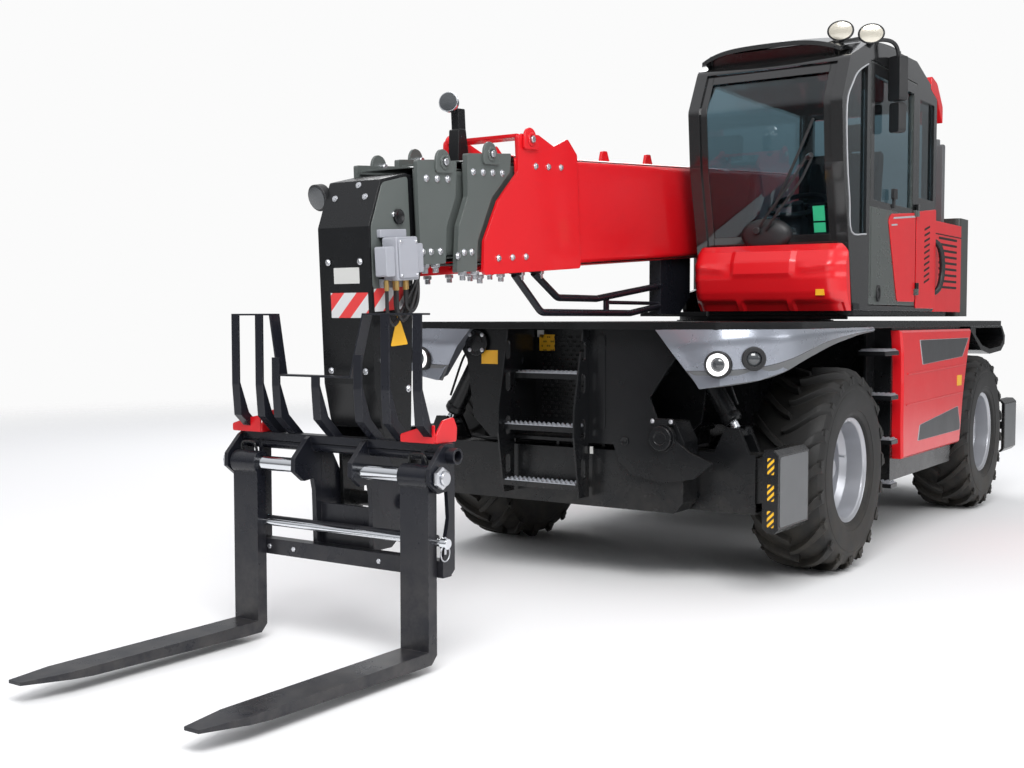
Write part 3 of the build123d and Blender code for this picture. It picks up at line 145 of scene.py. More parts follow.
# A turned shape: (height, radius) pairs spun about an axis from a place
def lathe(profile, place, axis, sides=32, closeU=False):
    height, radius = np.asarray(profile, float).T[..., None, None]
    axis = unit(axis)
    n = unit(np.cross(axis, np.eye(3)[np.argmin(np.abs(axis))]))
    a = np.linspace(0, 2 * np.pi, sides, endpoint=False)[:, None]
    circle = np.cos(a) * n + np.sin(a) * np.cross(axis, n)
    return gridShell(np.asarray(place, float) + height * axis + radius * circle, closeU=closeU)


# A pipe wall: (height, radius) pairs that come back to their start, spun and joined at both seams
def ringShape(profile, place, axis, sides=40):
    return lathe(profile, place, axis, sides, closeU=True)


# A round bar between two places, its ends bevelled by a share of its radius
def rod(a, b, radius, sides=20, edge=0.15):
    a, b = np.asarray(a, float), np.asarray(b, float)
    length = np.linalg.norm(b - a)
    e = min(edge * radius, length / 3)
    return lathe([(0, radius - e), (e, radius), (length - e, radius), (length, radius - e)], a, b - a, sides)


# A bar along x from x0 to x1
def crossRod(x0, x1, y, z, radius, sides=20):
    return rod((x0, y, z), (x1, y, z), radius, sides)


# Corners of an outline cut to arcs: a quadratic curve from r before each corner to r after it
def rounded(points, r, steps=5):
    p = np.asarray(points, float)
    before, after = np.roll(p, 1, 0) - p, np.roll(p, -1, 0) - p
    shortest = np.minimum(np.linalg.norm(before, axis=1), np.linalg.norm(after, axis=1))
    reach = np.minimum(r, 0.48 * shortest)[:, None]
    start, end = p + unit(before) * reach, p + unit(after) * reach
    t = np.linspace(0, 1, steps)[None, :, None]
    arcs = start[:, None] * (1 - t) ** 2 + 2 * p[:, None] * t * (1 - t) + end[:, None] * t**2
    return arcs.reshape(-1, 2)


# A flat plate: an outline (a, b) carried from h0 to h1. side says which axis h runs along
def plate(points, h0, h1, side="x", r=0):
    p = rounded(points, r) if r else np.asarray(points, float)
    h = np.array([h0, h1], float)[:, None] * np.ones(len(p))
    a, b = np.broadcast_to(p[:, 0], h.shape), np.broadcast_to(p[:, 1], h.shape)
    order = {"x": (h, a, b), "y": (a, h, b), "z": (a, b, h)}
    return gridShell(np.stack(order[side] if side in order else boomPlace(a, h, b), -1))


# The four corners of a rectangle
def rect(a0, a1, b0, b1):
    return [(a0, b0), (a1, b0), (a1, b1), (a0, b1)]


# Rectangular plates in one part, each row (a0, a1, b0, b1, h0, h1) and a corner radius if it has one
def slabs(rows, side="x"):
    return merge(*[plate(rect(*row[:4]), row[4], row[5], side, *row[6:]) for row in rows])


# Place on the boom: u forward from the pivot, v to the left, w up, in a frame that slopes down to the front
def boomPlace(u, v, w):
    u, v, w = np.asarray(u, float), np.asarray(v, float), np.asarray(w, float)
    c, s = math.cos(boom["slope"]), math.sin(boom["slope"])
    return boom["x"] + v, boom["pivotY"] - u * c - w * s, boom["pivotZ"] - u * s + w * c


# The same for rows of (u, v, w)
def boomPoints(places):
    return np.stack(boomPlace(*np.asarray(places, float).T), -1)


# The same part put at many places, turned so that its z points along each normal
def scatter(part, places, normals):
    v, f = part
    n = unit(np.broadcast_to(np.asarray(normals, float), (len(places), 3)))
    a = unit(np.cross(np.where(np.abs(n[:, :1]) < 0.8, [[1.0, 0, 0]], [[0, 1.0, 0]]), n))
    b = np.cross(n, a)
    turned = v[None, :, :1] * a[:, None] + v[None, :, 1:2] * b[:, None] + v[None, :, 2:] * n[:, None]
    verts = (turned + np.asarray(places, float)[:, None]).reshape(-1, 3)
    return verts, [np.asarray(face) + k * len(v) for k in range(len(places)) for face in f]


# Hexagon heads on washers, all their radii and heights shares of one size
def bolts(places, normals, size=0.012):
    washer = lathe(size * np.array([(0, 1.35), (0.2, 1.35), (0.25, 1.25)]), (0, 0, 0), (0, 0, 1), 14)
    head = lathe(size * np.array([(0.2, 1), (0.75, 1), (0.9, 0.82)]), (0, 0, 0), (0, 0, 1), 6)
    return scatter(merge(washer, head), places, normals)


# One piece in the scene, riding on a CAD body, with its faces turned outwards
def addPiece(name, part, material, body, slot, bevel=0, angle=35):
    mesh = bpy.data.meshes.new(name)
    mesh.from_pydata((part[0] + np.array([0, slewY, 0])).tolist(), [], [face.tolist() for face in part[1]])
    shape = bmesh.new()
    shape.from_mesh(mesh)
    bmesh.ops.recalc_face_normals(shape, faces=shape.faces)
    shape.to_mesh(mesh)
    shape.free()
    mesh.polygons.foreach_set("use_smooth", np.ones(len(mesh.polygons), bool))
    mesh.set_sharp_from_angle(angle=math.radians(angle))
    mesh.materials.append(material)
    obj = bpy.data.objects.new(name, mesh)
    bpy.context.scene.collection.objects.link(obj)
    if bevel:
        edge = obj.modifiers.new("edge", "BEVEL")
        edge.width, edge.segments, edge.limit_method = bevel, 2, "ANGLE"
        edge.angle_limit = math.radians(40)
        edge.harden_normals = True
    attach(obj, body)
    return obj


print("tools ready")


# Paint and metal share one node group. It rounds the edges in the normal, paints them lighter as a painted
# highlight, mottles the colour, lays dust on what faces up and dirt low down, and gives a fine grain.
def makeFinishGroup():
    tree = bpy.data.node_groups.new("dustAndHighlightFinish", "ShaderNodeTree")
    given = {"colour": (0.5, 0.5, 0.5, 1), "edgeColour": (0.6, 0.6, 0.6, 1),
             "dustColour": (0.42, 0.38, 0.33, 1), "roughness": 0.4, "edgeWear": 0.2, "mottle": 0.15,
             "dust": 0.1, "lowDirt": 0.0,
             "grainScale": 180.0, "grainDepth": 0.05, "edgeRadius": 0.004}
    for label, value in given.items():
        kind = "NodeSocketColor" if isinstance(value, tuple) else "NodeSocketFloat"
        tree.interface.new_socket(name=label, in_out="INPUT", socket_type=kind).default_value = value
    for label, kind in (("colour", "Color"), ("roughness", "Float"), ("normal", "Vector")):
        tree.interface.new_socket(name=label, in_out="OUTPUT", socket_type="NodeSocket" + kind)
    link = tree.links.new

    def new(kind):
        return tree.nodes.new(kind)

    def feed(socket, value):  # a number or colour is set on the socket, an output is linked to it
        if hasattr(value, "links"):
            link(value, socket)
        else:
            socket.default_value = value

    def sums(operation, a, b, clamp=False):
        node = new("ShaderNodeMath")
        node.operation, node.use_clamp = operation, clamp
        feed(node.inputs[0], a)
        feed(node.inputs[1], b)
        return node.outputs[0]

    def stretch(value, low, gain, clamp=True):  # (value - low) * gain
        return sums("MULTIPLY", sums("SUBTRACT", value, low), gain, clamp)

    def mask(a, b, c):  # a * b * c, kept between 0 and 1
        return sums("MULTIPLY", sums("MULTIPLY", a, b), c, True)

    def blendColour(factor, a, b):
        node = new("ShaderNodeMix")
        node.data_type = "RGBA"
        for socket, value in ((0, factor), (6, a), (7, b)):
            feed(node.inputs[socket], value)
        return node.outputs[2]

    def noise(scale, detail, rough=0.5):
        node = new("ShaderNodeTexNoise")
        for label, value in (("Vector", coords), ("Scale", scale), ("Detail", detail), ("Roughness", rough)):
            feed(node.inputs[label], value)
        return node.outputs["Fac"]

    start, out = new("NodeGroupInput").outputs, new("NodeGroupOutput").inputs
    coords = new("ShaderNodeTexCoord").outputs["Object"]
    facing = new("ShaderNodeNewGeometry").outputs["Normal"]
    bevel, turn, scaled = new("ShaderNodeBevel"), new("ShaderNodeVectorMath"), new("ShaderNodeVectorMath")
    bevel.samples, turn.operation, scaled.operation = 4, "DOT_PRODUCT", "SCALE"
    link(start["edgeRadius"], bevel.inputs["Radius"])
    link(bevel.outputs[0], turn.inputs[0])
    link(facing, turn.inputs[1])
    # The edges are painted lighter in the edge colour: a painted highlight along them, broken up by noise
    highlightBreakup = stretch(noise(38, 5, 0.65), 0.42, 5.0)
    edgeHighlightMask = mask(stretch(1.0, turn.outputs["Value"], 9.0), highlightBreakup, start["edgeWear"])
    link(start["colour"], scaled.inputs[0])
    link(sums("ADD", 1.0, stretch(noise(2.3, 4), 0.5, start["mottle"], False)), scaled.inputs["Scale"])
    split, place = new("ShaderNodeSeparateXYZ"), new("ShaderNodeSeparateXYZ")
    link(facing, split.inputs[0])
    link(coords, place.inputs[0])
    patches = stretch(noise(7, 6, 0.7), 0.38, 2.6)
    dust = mask(stretch(split.outputs["Z"], 0.35, 1.5), patches, start["dust"])
    dirt = mask(stretch(0.75, place.outputs["Z"], 1.6), patches, start["lowDirt"])
    cover = sums("MAXIMUM", dust, dirt)
    # The base colour with the painted edge highlight mixed in, then dust and dirt laid over it
    colour = blendColour(edgeHighlightMask, scaled.outputs[0], start["edgeColour"])
    link(blendColour(cover, colour, start["dustColour"]), out["colour"])
    smear = stretch(noise(5, 5, 0.6), 0.5, 0.18, False)
    rough = sums("ADD", start["roughness"], smear)
    link(sums("ADD", rough, sums("MULTIPLY", cover, 0.4), True), out["roughness"])
    bump = new("ShaderNodeBump")
    link(noise(start["grainScale"], 2), bump.inputs["Height"])
    link(start["grainDepth"], bump.inputs["Strength"])
    bump.inputs["Distance"].default_value = 0.001
    link(bevel.outputs[0], bump.inputs["Normal"])
    link(bump.outputs[0], out["normal"])
    return tree


finishGroup = makeFinishGroup()
shaderSockets = {"metallic": "Metallic", "coat": "Coat Weight", "coatRough": "Coat Roughness",
                 "specular": "Specular IOR Level", "glow": "Emission Strength", "clear": "Transmission Weight"}


# A plain material: one colour, one roughness, and other values on the shader's own sockets
def plain(name, colour, rough, **values):
    mat = bpy.data.materials.new(name)
    mat.use_nodes = True
    sockets = mat.node_tree.nodes["Principled BSDF"].inputs
    sockets["Base Color"].default_value = (*colour, 1)
    sockets["Roughness"].default_value = rough
    if "glow" in values:
        sockets["Emission Color"].default_value = (*colour, 1)
    for key, value in values.items():
        sockets[shaderSockets[key]].default_value = value
    return mat


# A material of the shared group: colour, roughness and normal come from it, the rest stays on the shader
def finish(name, colour, rough, metallic=0.0, coat=0.0, specular=0.5, **groupValues):
    mat = plain(name, colour, rough, metallic=metallic, coat=coat, coatRough=0.05, specular=specular)
    group = mat.node_tree.nodes.new("ShaderNodeGroup")
    group.node_tree = finishGroup
    for key, value in {"colour": colour, "roughness": rough, **groupValues}.items():
        group.inputs[key].default_value = (*value, 1) if isinstance(value, tuple) else value
    sockets = mat.node_tree.nodes["Principled BSDF"].inputs
    for key, label in (("colour", "Base Color"), ("roughness", "Roughness"), ("normal", "Normal")):
        mat.node_tree.links.new(group.outputs[key], sockets[label])
    return mat


# Slanted bands of two colours across a plate: the difference of two object coordinates, wrapped and cut at half
def bands(name, colourA, colourB, width, across, along="Z", rough=0.35):
    mat = plain(name, colourA, rough)
    new, link = mat.node_tree.nodes.new, mat.node_tree.links.new
    coords, split, mix = new("ShaderNodeTexCoord"), new("ShaderNodeSeparateXYZ"), new("ShaderNodeMix")
    link(coords.outputs["Object"], split.inputs[0])
    last = split.outputs[across]
    for operation, value in (("SUBTRACT", None), ("DIVIDE", width), ("FRACT", None), ("GREATER_THAN", 0.5)):
        step = new("ShaderNodeMath")
        step.operation = operation
        link(last, step.inputs[0])
        if value:
            step.inputs[1].default_value = value
        elif operation == "SUBTRACT":
            link(split.outputs[along], step.inputs[1])
        last = step.outputs[0]
    mix.data_type = "RGBA"
    link(last, mix.inputs[0])
    mix.inputs[6].default_value, mix.inputs[7].default_value = (*colourA, 1), (*colourB, 1)
    link(mix.outputs[2], mat.node_tree.nodes["Principled BSDF"].inputs["Base Color"])
    return mat


# Each finish below also paints its edges in a lighter colour, a painted highlight
redPaint = finish("redPaint", (0.70, 0.006, 0.012), 0.33, coat=0.35, edgeWear=0.05, dust=0.05, mottle=0.1,
                  grainDepth=0.04, edgeColour=(0.85, 0.05, 0.05), edgeRadius=0.006)
blackPaint = finish("blackPaint", (0.008, 0.0085, 0.0095), 0.26, specular=0.36, edgeWear=0.25, dust=0.1,
                    lowDirt=0.12, mottle=0.3, edgeColour=(0.05, 0.052, 0.055), grainDepth=0.12)
graphitePaint = finish("graphitePaint", (0.05, 0.054, 0.05), 0.34, edgeWear=0.2, dust=0.12, mottle=0.15,
                       edgeColour=(0.12, 0.125, 0.12), coat=0.25)
cabPaint = finish("cabPaint", (0.075, 0.085, 0.08), 0.28, edgeWear=0.2, dust=0.08, mottle=0.12, coat=0.35,
                  edgeColour=(0.14, 0.15, 0.145), edgeRadius=0.008)
boomPaint = finish("boomPaint", (0.095, 0.108, 0.103), 0.36, edgeWear=0.35, dust=0.12, mottle=0.25, coat=0.15,
                   edgeColour=(0.2, 0.21, 0.2), edgeRadius=0.005)
silverPaint = finish("silverPaint", (0.29, 0.31, 0.355), 0.28, metallic=0.6, coat=0.3, edgeWear=0.15, dust=0.1,
                     edgeColour=(0.65, 0.67, 0.7), mottle=0.06, edgeRadius=0.006)
rimPaint = finish("rimPaint", (0.47, 0.48, 0.51), 0.32, metallic=0.6, edgeWear=0.3, dust=0.1, lowDirt=0.1,
                  mottle=0.1, edgeColour=(0.75, 0.76, 0.78), edgeRadius=0.006)
chrome = finish("chrome", (0.72, 0.74, 0.77), 0.12, metallic=1.0, edgeWear=0.1, dust=0.1, mottle=0.1,
                grainDepth=0.02, edgeColour=(0.9, 0.9, 0.9), edgeRadius=0.002)
forkPaint = finish("forkPaint", (0.010, 0.011, 0.016), 0.28, specular=0.36, edgeWear=0.5, dust=0.08,
                   lowDirt=0.12, mottle=0.3, edgeColour=(0.12, 0.12, 0.13), grainDepth=0.12)
castIron = finish("castIron", (0.1, 0.1, 0.105), 0.6, edgeWear=0.3, dust=0.3, mottle=0.3, grainScale=90.0,
                  grainDepth=0.3)
rubber = finish("rubber", (0.014, 0.0138, 0.0135), 0.55, specular=0.35, edgeWear=0.2, dust=0.15, lowDirt=0.3,
                mottle=0.35, edgeColour=(0.06, 0.055, 0.05), dustColour=(0.16, 0.135, 0.1), grainScale=120.0,
                grainDepth=0.25)
seatCloth = finish("seatCloth", (0.035, 0.036, 0.04), 0.85, specular=0.3, edgeWear=0.0, dust=0.05,
                   grainScale=420.0, grainDepth=0.5)
zinc = finish("zinc", (0.62, 0.63, 0.66), 0.28, metallic=0.9, edgeWear=0.2, dust=0.1, mottle=0.25,
              edgeRadius=0.0015, edgeColour=(0.85, 0.86, 0.88))
galvanised = finish("galvanised", (0.5, 0.52, 0.56), 0.4, metallic=0.75, edgeWear=0.2, dust=0.25, mottle=0.4,
                    edgeColour=(0.75, 0.76, 0.8), edgeRadius=0.0015)
brass = finish("brass", (0.62, 0.42, 0.16), 0.3, metallic=0.95, edgeWear=0.1, dust=0.1, edgeRadius=0.001)
plastic = finish("plastic", (0.014, 0.0145, 0.016), 0.45, edgeWear=0.1, dust=0.12, grainScale=300.0,
                 grainDepth=0.25)
greyPlastic = finish("greyPlastic", (0.12, 0.125, 0.13), 0.5, edgeWear=0.1, dust=0.1, grainScale=260.0,
                     grainDepth=0.2)
boxGrey = finish("boxGrey", (0.36, 0.37, 0.41), 0.42, edgeWear=0.3, dust=0.15, mottle=0.15,
                 edgeColour=(0.6, 0.6, 0.62))
workLens = finish("workLens", (0.72, 0.68, 0.58), 0.18, metallic=0.35, coat=0.8, grainScale=90.0,
                  grainDepth=0.6, mottle=0.5)
gloss = finish("blackGloss", (0.012, 0.0125, 0.013), 0.12, coat=0.8, edgeWear=0.03, dust=0.03, mottle=0.1,
               grainDepth=0.0)
wedgeGrey = finish("wedgeGrey", (0.045, 0.047, 0.05), 0.4, edgeWear=0.1, dust=0.1)
hoseRubber = plain("hoseRubber", (0.012, 0.012, 0.013), 0.45)
lampRing = plain("lampRing", (1.0, 1.0, 1.0), 0.3, glow=0.9)
lampInner = plain("lampInner", (0.05, 0.055, 0.06), 0.08, coat=1.0)
mirrorGlass = plain("mirrorGlass", (0.8, 0.82, 0.84), 0.03, metallic=1.0)
yellowLabel = plain("yellowLabel", (0.85, 0.45, 0.02), 0.4)
whiteLabel = plain("whiteLabel", (0.6, 0.6, 0.58), 0.4)
greenLabel = plain("greenLabel", (0.02, 0.42, 0.2), 0.35)
outlineGrey = plain("outlineGrey", (0.42, 0.43, 0.45), 0.4)
# Near-black for slots, holes and seam gaps: painted shade where the openings would be
slotShade = plain("slotShade", (0.004, 0.004, 0.0045), 0.7)
cabGlass = plain("cabGlass", (0.50, 0.66, 0.72), 0.0, clear=1)
cabGlass.node_tree.nodes["Principled BSDF"].inputs["IOR"].default_value = 1.45
hazardBands = bands("hazardBands", (0.72, 0.05, 0.05), (0.66, 0.66, 0.67), 0.14, "X")
hazardSide = bands("hazardSide", (0.72, 0.05, 0.05), (0.66, 0.66, 0.67), 0.14, "Y")
footBands = bands("footBands", (0.9, 0.5, 0.02), (0.02, 0.02, 0.02), 0.034, "X")

finishOf = {
    "black_steel": blackPaint, "graphite_steel": graphitePaint, "red_panel": redPaint, "boom_grey": boomPaint,
    "silver_panel": silverPaint, "rim_silver": rimPaint, "shaft_chrome": chrome, "fork_black": forkPaint,
    "cast_block": castIron, "tyre_rubber": rubber, "cab_glass": cabGlass, "seat_fabric": seatCloth,
}
ownFinish = {"cab_shell": gloss, "cab_door": cabPaint, "boom_head": blackPaint, "turret_frame": blackPaint}
for sub in frame["record"]["subparts"]:
    mesh = nodes[sub["node"]].data
    mesh.materials.clear()
    mesh.materials.append(ownFinish.get(sub["node"], finishOf[sub["material_slot"]]))
print("finishes ready")

# Tyres: a turned drum with curved bars on it. Pairs of lists are breakpoints and values along one bar, and wall
# points are (in from the side, radius)
tyre = {
    "centre": (1.0525, 1.505, 0.593), "half": 0.2225, "lugs": 19, "sweep": 0.34, "steps": 9,
    "turn": (0.13, 0.31),  # of the front and rear wheels, so that their bars differ
    "barX": ([0, 0.86, 1], [-0.012, 0.178, 0.2205]),
    "barTop": ([0, 0.5, 0.8, 0.92, 1], [0.5925, 0.5925, 0.586, 0.57, 0.532]),
    "barLow": ([0, 0.8, 1], [0.545, 0.54, 0.50]),
    "barWide": ([0, 0.15, 0.7, 1], [0.028, 0.042, 0.052, 0.070]),
    "section": ([-1.25, -1.0, -0.8, 0.8, 1.0, 1.25], [0.0, 0.86, 1.0, 1.0, 0.86, 0.0]),
    "wall": [(0.0504, 0.2864), (0.0424, 0.3024), (0.032, 0.3048), (0.016, 0.318), (0.008, 0.34),
             (0.0085, 0.348), (0.004, 0.352), (0.002, 0.40), (0, 0.43), (0.0015, 0.463), (0.005, 0.468),
             (0.004, 0.474), (0.008, 0.505), (0.022, 0.535), (0.05, 0.549), (0.1, 0.554)],
    "inside": [(0.06, 0.2864), (0.03, 0.36), (0.03, 0.47), (0.07, 0.52)],
}


# One tread bar: x runs out from the middle, the angle grows as sweep * t^1.3, the outer radius follows the
# crown of the tyre, and the bar grows wider towards the shoulder, where it turns down to the wall
def treadBar(side, turn):
    t = np.linspace(0, 1, tyre["steps"])
    x, top, low, wide = [np.interp(t, *tyre[key])[:, None] for key in ("barX", "barTop", "barLow", "barWide")]
    across, rise = np.array(tyre["section"])[:, None]
    a = (turn + tyre["sweep"] * t**1.3)[:, None] + across * wide / 0.59 * 0.5
    r = low + (top - low) * rise
    return gridShell(np.stack([np.broadcast_to(side * x, a.shape), r * np.cos(a), r * np.sin(a)], -1))


# The bar's end on the side wall: four corners at two radii, and the same four drawn in towards the middle
def barEnd(side, turn):
    x, r = side * np.array([0.2225, 0.2222, 0.2222, 0.2225]), np.array([0.50, 0.545, 0.545, 0.50])
    a = turn + tyre["sweep"] + 0.02 + 0.011 * np.array([-1, -3, 3, 1])
    outer = np.stack([x, r * np.cos(a), r * np.sin(a)], -1)
    return gridShell(np.stack([outer * np.array([0.9, 1, 1]), outer]))


# Drum with an inner wall, turned in one closed profile, with the bars of the two sides half a step apart
def makeTyre():
    half, step = tyre["half"], 2 * np.pi / tyre["lugs"]
    wall = [(half - d, r) for d, r in tyre["wall"]]
    inside = [(half - d, r) for d, r in tyre["inside"]]
    profile = wall + [(-x, r) for x, r in wall[::-1]] + [(-x, r) for x, r in inside] + inside[::-1]
    places = [(side, (k + 0.5 * (side < 0)) * step) for k in range(tyre["lugs"]) for side in (1, -1)]
    bars = [shape(*place) for shape in (treadBar, barEnd) for place in places]
    return merge(ringShape(profile, (0, 0, 0), (1, 0, 0), 96), *bars)


baseTyre, baseFaces = makeTyre()
for name, (sx, sy) in corners.items():
    turn = tyre["turn"][sy > 0]
    x, y, z = baseTyre.T
    y, z = y * math.cos(turn) - z * math.sin(turn), y * math.sin(turn) + z * math.cos(turn)
    part = placed((np.stack([x, y, z], -1), baseFaces), (sx, -1, 1), tyre["centre"] * np.array([sx, sy, 1]))
    piece = addPiece(name + "_tread", part, rubber, name + "_wheel", "tyre_rubber", angle=30)
    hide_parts(name + "_tyre")

# Rim trim: a bright lip, studs round the disc, the hub cap with its small bolts and a valve
rim = {
    "lip": [(0.1705, 0.285), (0.1805, 0.2965), (0.1825, 0.302), (0.1885, 0.3045), (0.1905, 0.3025),
            (0.186, 0.298), (0.177, 0.28), (0.1705, 0.2775)],
    "step": [(0.055, 0.2765), (0.059, 0.2705), (0.066, 0.2705), (0.07, 0.2765)],
    "studs": (10, 0.155, 0.02, 0.016), "capBolts": (8, 0.066, 0.074, 0.006),  # count, ring radius, x and size
    "valve": ((0.05, 0.235, 0.05), (0.085, 0.225, 0.05), 0.006),
}


# Bolts in a ring: count of them at equal angles
def boltRing(count, radius, x, size):
    a = np.arange(count) * 2 * np.pi / count
    return bolts(np.stack([np.full(count, x), radius * np.cos(a), radius * np.sin(a)], -1), (1, 0, 0), size)


rings = [ringShape(rim[key], (0, 0, 0), (1, 0, 0), 64) for key in ("lip", "step")]
trim = merge(*rings, boltRing(*rim["studs"]), boltRing(*rim["capBolts"]), rod(*rim["valve"]))
for name, (sx, sy) in corners.items():
    part = placed(trim, (sx, 1, 1), tyre["centre"] * np.array([sx, sy, 1]))
    addPiece(name + "_rim_trim", part, rimPaint, name + "_wheel", "rim_silver")
print("wheels ready")

# Lamp housings: a shaped shell over each plain one. Its rows run from the deck edge down, and the points of a
# row from the middle of the machine out and round the corner
housing = {
    "strips": 4, "smooth": 4, "thick": -0.012,
    "top": [(0.603, -2.683, 1.407), (0.80, -2.682, 1.408), (0.962, -2.672, 1.408), (1.09, -2.60, 1.408),
            (1.17, -2.52, 1.408), (1.222, -2.43, 1.408), (1.247, -2.31, 1.408), (1.256, -2.1, 1.408),
            (1.259, -1.86, 1.408), (1.259, -1.5, 1.408), (1.259, -1.19, 1.408)],
    "crease": [(0.69, -2.692, 1.31), (0.80, -2.70, 1.325), (0.972, -2.688, 1.345), (1.105, -2.608, 1.36),
               (1.186, -2.522, 1.368), (1.236, -2.43, 1.374), (1.2585, -2.31, 1.379), (1.266, -2.1, 1.386),
               (1.268, -1.86, 1.392), (1.268, -1.5, 1.398), (1.266, -1.19, 1.404)],
    "belt": [(0.775, -2.665, 1.20), (0.83, -2.674, 1.20), (0.972, -2.664, 1.205), (1.10, -2.588, 1.215),
             (1.18, -2.505, 1.235), (1.226, -2.42, 1.258), (1.2515, -2.31, 1.285), (1.261, -2.1, 1.325),
             (1.263, -1.86, 1.357), (1.265, -1.5, 1.386), (1.265, -1.19, 1.401)],
    "foot": [(0.842, -2.636, 1.106), (0.87, -2.64, 1.109), (0.985, -2.626, 1.125), (1.09, -2.565, 1.145),
             (1.165, -2.485, 1.172), (1.212, -2.405, 1.202), (1.238, -2.305, 1.238), (1.252, -2.1, 1.284),
             (1.256, -1.86, 1.326), (1.26, -1.5, 1.374), (1.262, -1.19, 1.3985)],
}
# The lit lamp and the plain one beside it: place, direction, and the turned shapes of their rings and lenses
endLamps = {
    "lit": ((0.957, -2.672, 1.232), (0.22, -1.0, -0.02)), "dark": ((1.112, -2.592, 1.262), (0.62, -1.0, -0.02)),
    "ring": [(0, 0.058), (0.03, 0.058), (0.034, 0.054), (0.034, 0.040), (0.026, 0.037), (0, 0.037)],
    "bezel": [(-0.01, 0.072), (0.022, 0.072), (0.028, 0.068), (0.028, 0.058), (-0.01, 0.058)],
    "lens": [(0, 0.037), (0.02, 0.037), (0.027, 0.028), (0.031, 0.014), (0.032, 0.004)],
    "darkBezel": [(-0.01, 0.062), (0.026, 0.062), (0.031, 0.058), (0.031, 0.040), (0.016, 0.036),
                  (-0.01, 0.036)],
    "darkLens": [(0, 0.037), (0.018, 0.037), (0.026, 0.026), (0.030, 0.012), (0.031, 0.003)],
}


# Rows are joined by smooth curves along the housing. Across it each strip stays flat, so the crease shows
def housingShell(*rows):
    outer = np.stack([smoothPath(housing[row], housing["smooth"]) for row in rows])
    at = np.linspace(0, len(rows) - 1, (len(rows) - 1) * housing["strips"] + 1)
    k = np.minimum(at.astype(int), len(rows) - 2)
    t = (at - k)[:, None, None]
    outer = outer[k] * (1 - t) + outer[k + 1] * t
    normal = unit(np.cross(np.gradient(outer, axis=1), np.gradient(outer, axis=0)))
    return gridShell(np.concatenate([outer, (outer + normal * housing["thick"])[::-1]]).transpose(1, 0, 2))


litLens = lathe(endLamps["lens"], *endLamps["lit"])
darkLens = lathe(endLamps["darkLens"], *endLamps["dark"])
litBezel = ringShape(endLamps["bezel"], *endLamps["lit"])
darkBezel = ringShape(endLamps["darkBezel"], *endLamps["dark"])
lampParts = {
    "lamp_shell": (housingShell("top", "crease", "belt"), silverPaint),
    "lamp_lip": (housingShell("belt", "foot"), greyPlastic),
    "lamp_ring": (ringShape(endLamps["ring"], *endLamps["lit"]), lampRing),
    "lamp_lens": (merge(litLens, darkLens), lampInner),
    "lamp_bezel": (merge(litBezel, darkBezel), plastic),
}
for side, factors in (("_left", (1, 1, 1)), ("_right", toRight)):
    for name, (part, material) in lampParts.items():
        addPiece(name + side, placed(part, factors), material, "chassis", "silver_panel")
print("lamp housings ready")

# Cowl: a glossy moulded face in place of the plain one, over height z and s across it from -1 to 1
cowl = {
    "x": (0.292, 1.238), "z": (1.512, 1.898), "rows": 40, "columns": 64,
    "front": ([1.512, 1.56, 1.62, 1.70, 1.80, 1.86, 1.898], [1.600, 1.640, 1.668, 1.684, 1.672, 1.642, 1.592]),
    "back": (-1.495, -1.553), "centre": 0.016, "wings": 0.10, "crease": 0.012, "scoop": 0.026,
}


# Front face: the side outline plus a middle block that stands out at the top, less wings that fall back as a
# square at both sides, plus a crease, less three scoops at the foot where a sine is over a quarter
def makeCowl():
    up, across = np.linspace(*cowl["z"], cowl["rows"]), np.linspace(-1, 1, cowl["columns"])
    z, s = np.meshgrid(up, across, indexing="ij")

    def ramp(value, width):
        return np.clip(value / width, 0, 1)

    far = np.abs(s)
    centre = cowl["centre"] * ramp(0.42 - far, 0.05) * ramp(z - 1.70, 0.03) * ramp(1.885 - z, 0.02)
    wings = cowl["wings"] * ramp(far - 0.82, 0.18) ** 2
    crease = cowl["crease"] * np.clip(1 - np.abs(z - 1.73 - 0.05 * far) / 0.04, 0, 1) * ramp(far - 0.45, 0.1)
    scoop = cowl["scoop"] * ramp(1.575 - z, 0.02) * (np.abs(np.sin(1.5 * np.pi * (s + 1))) > 0.25)
    x0, x1 = cowl["x"]
    x = (x0 + x1) / 2 + (x1 - x0) / 2 * s
    front = np.stack([x, -(np.interp(z, *cowl["front"]) + centre - wings + crease - scoop), z], -1)
    back = np.stack([x, np.interp(z, cowl["z"], cowl["back"]), z], -1)
    return gridShell(np.concatenate([front, back[::-1]], 0).transpose(1, 0, 2))


cowlPiece = addPiece("cowl_face", makeCowl(), redPaint, "turret", "red_panel", angle=22)
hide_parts("cab_cowl")
cowlLabel = slabs([(1.09, 1.14, 1.60, 1.635, -1.672, -1.640)], "y")
addPiece("cowl_label", cowlLabel, yellowLabel, "turret", "red_panel")
print("cowl ready")

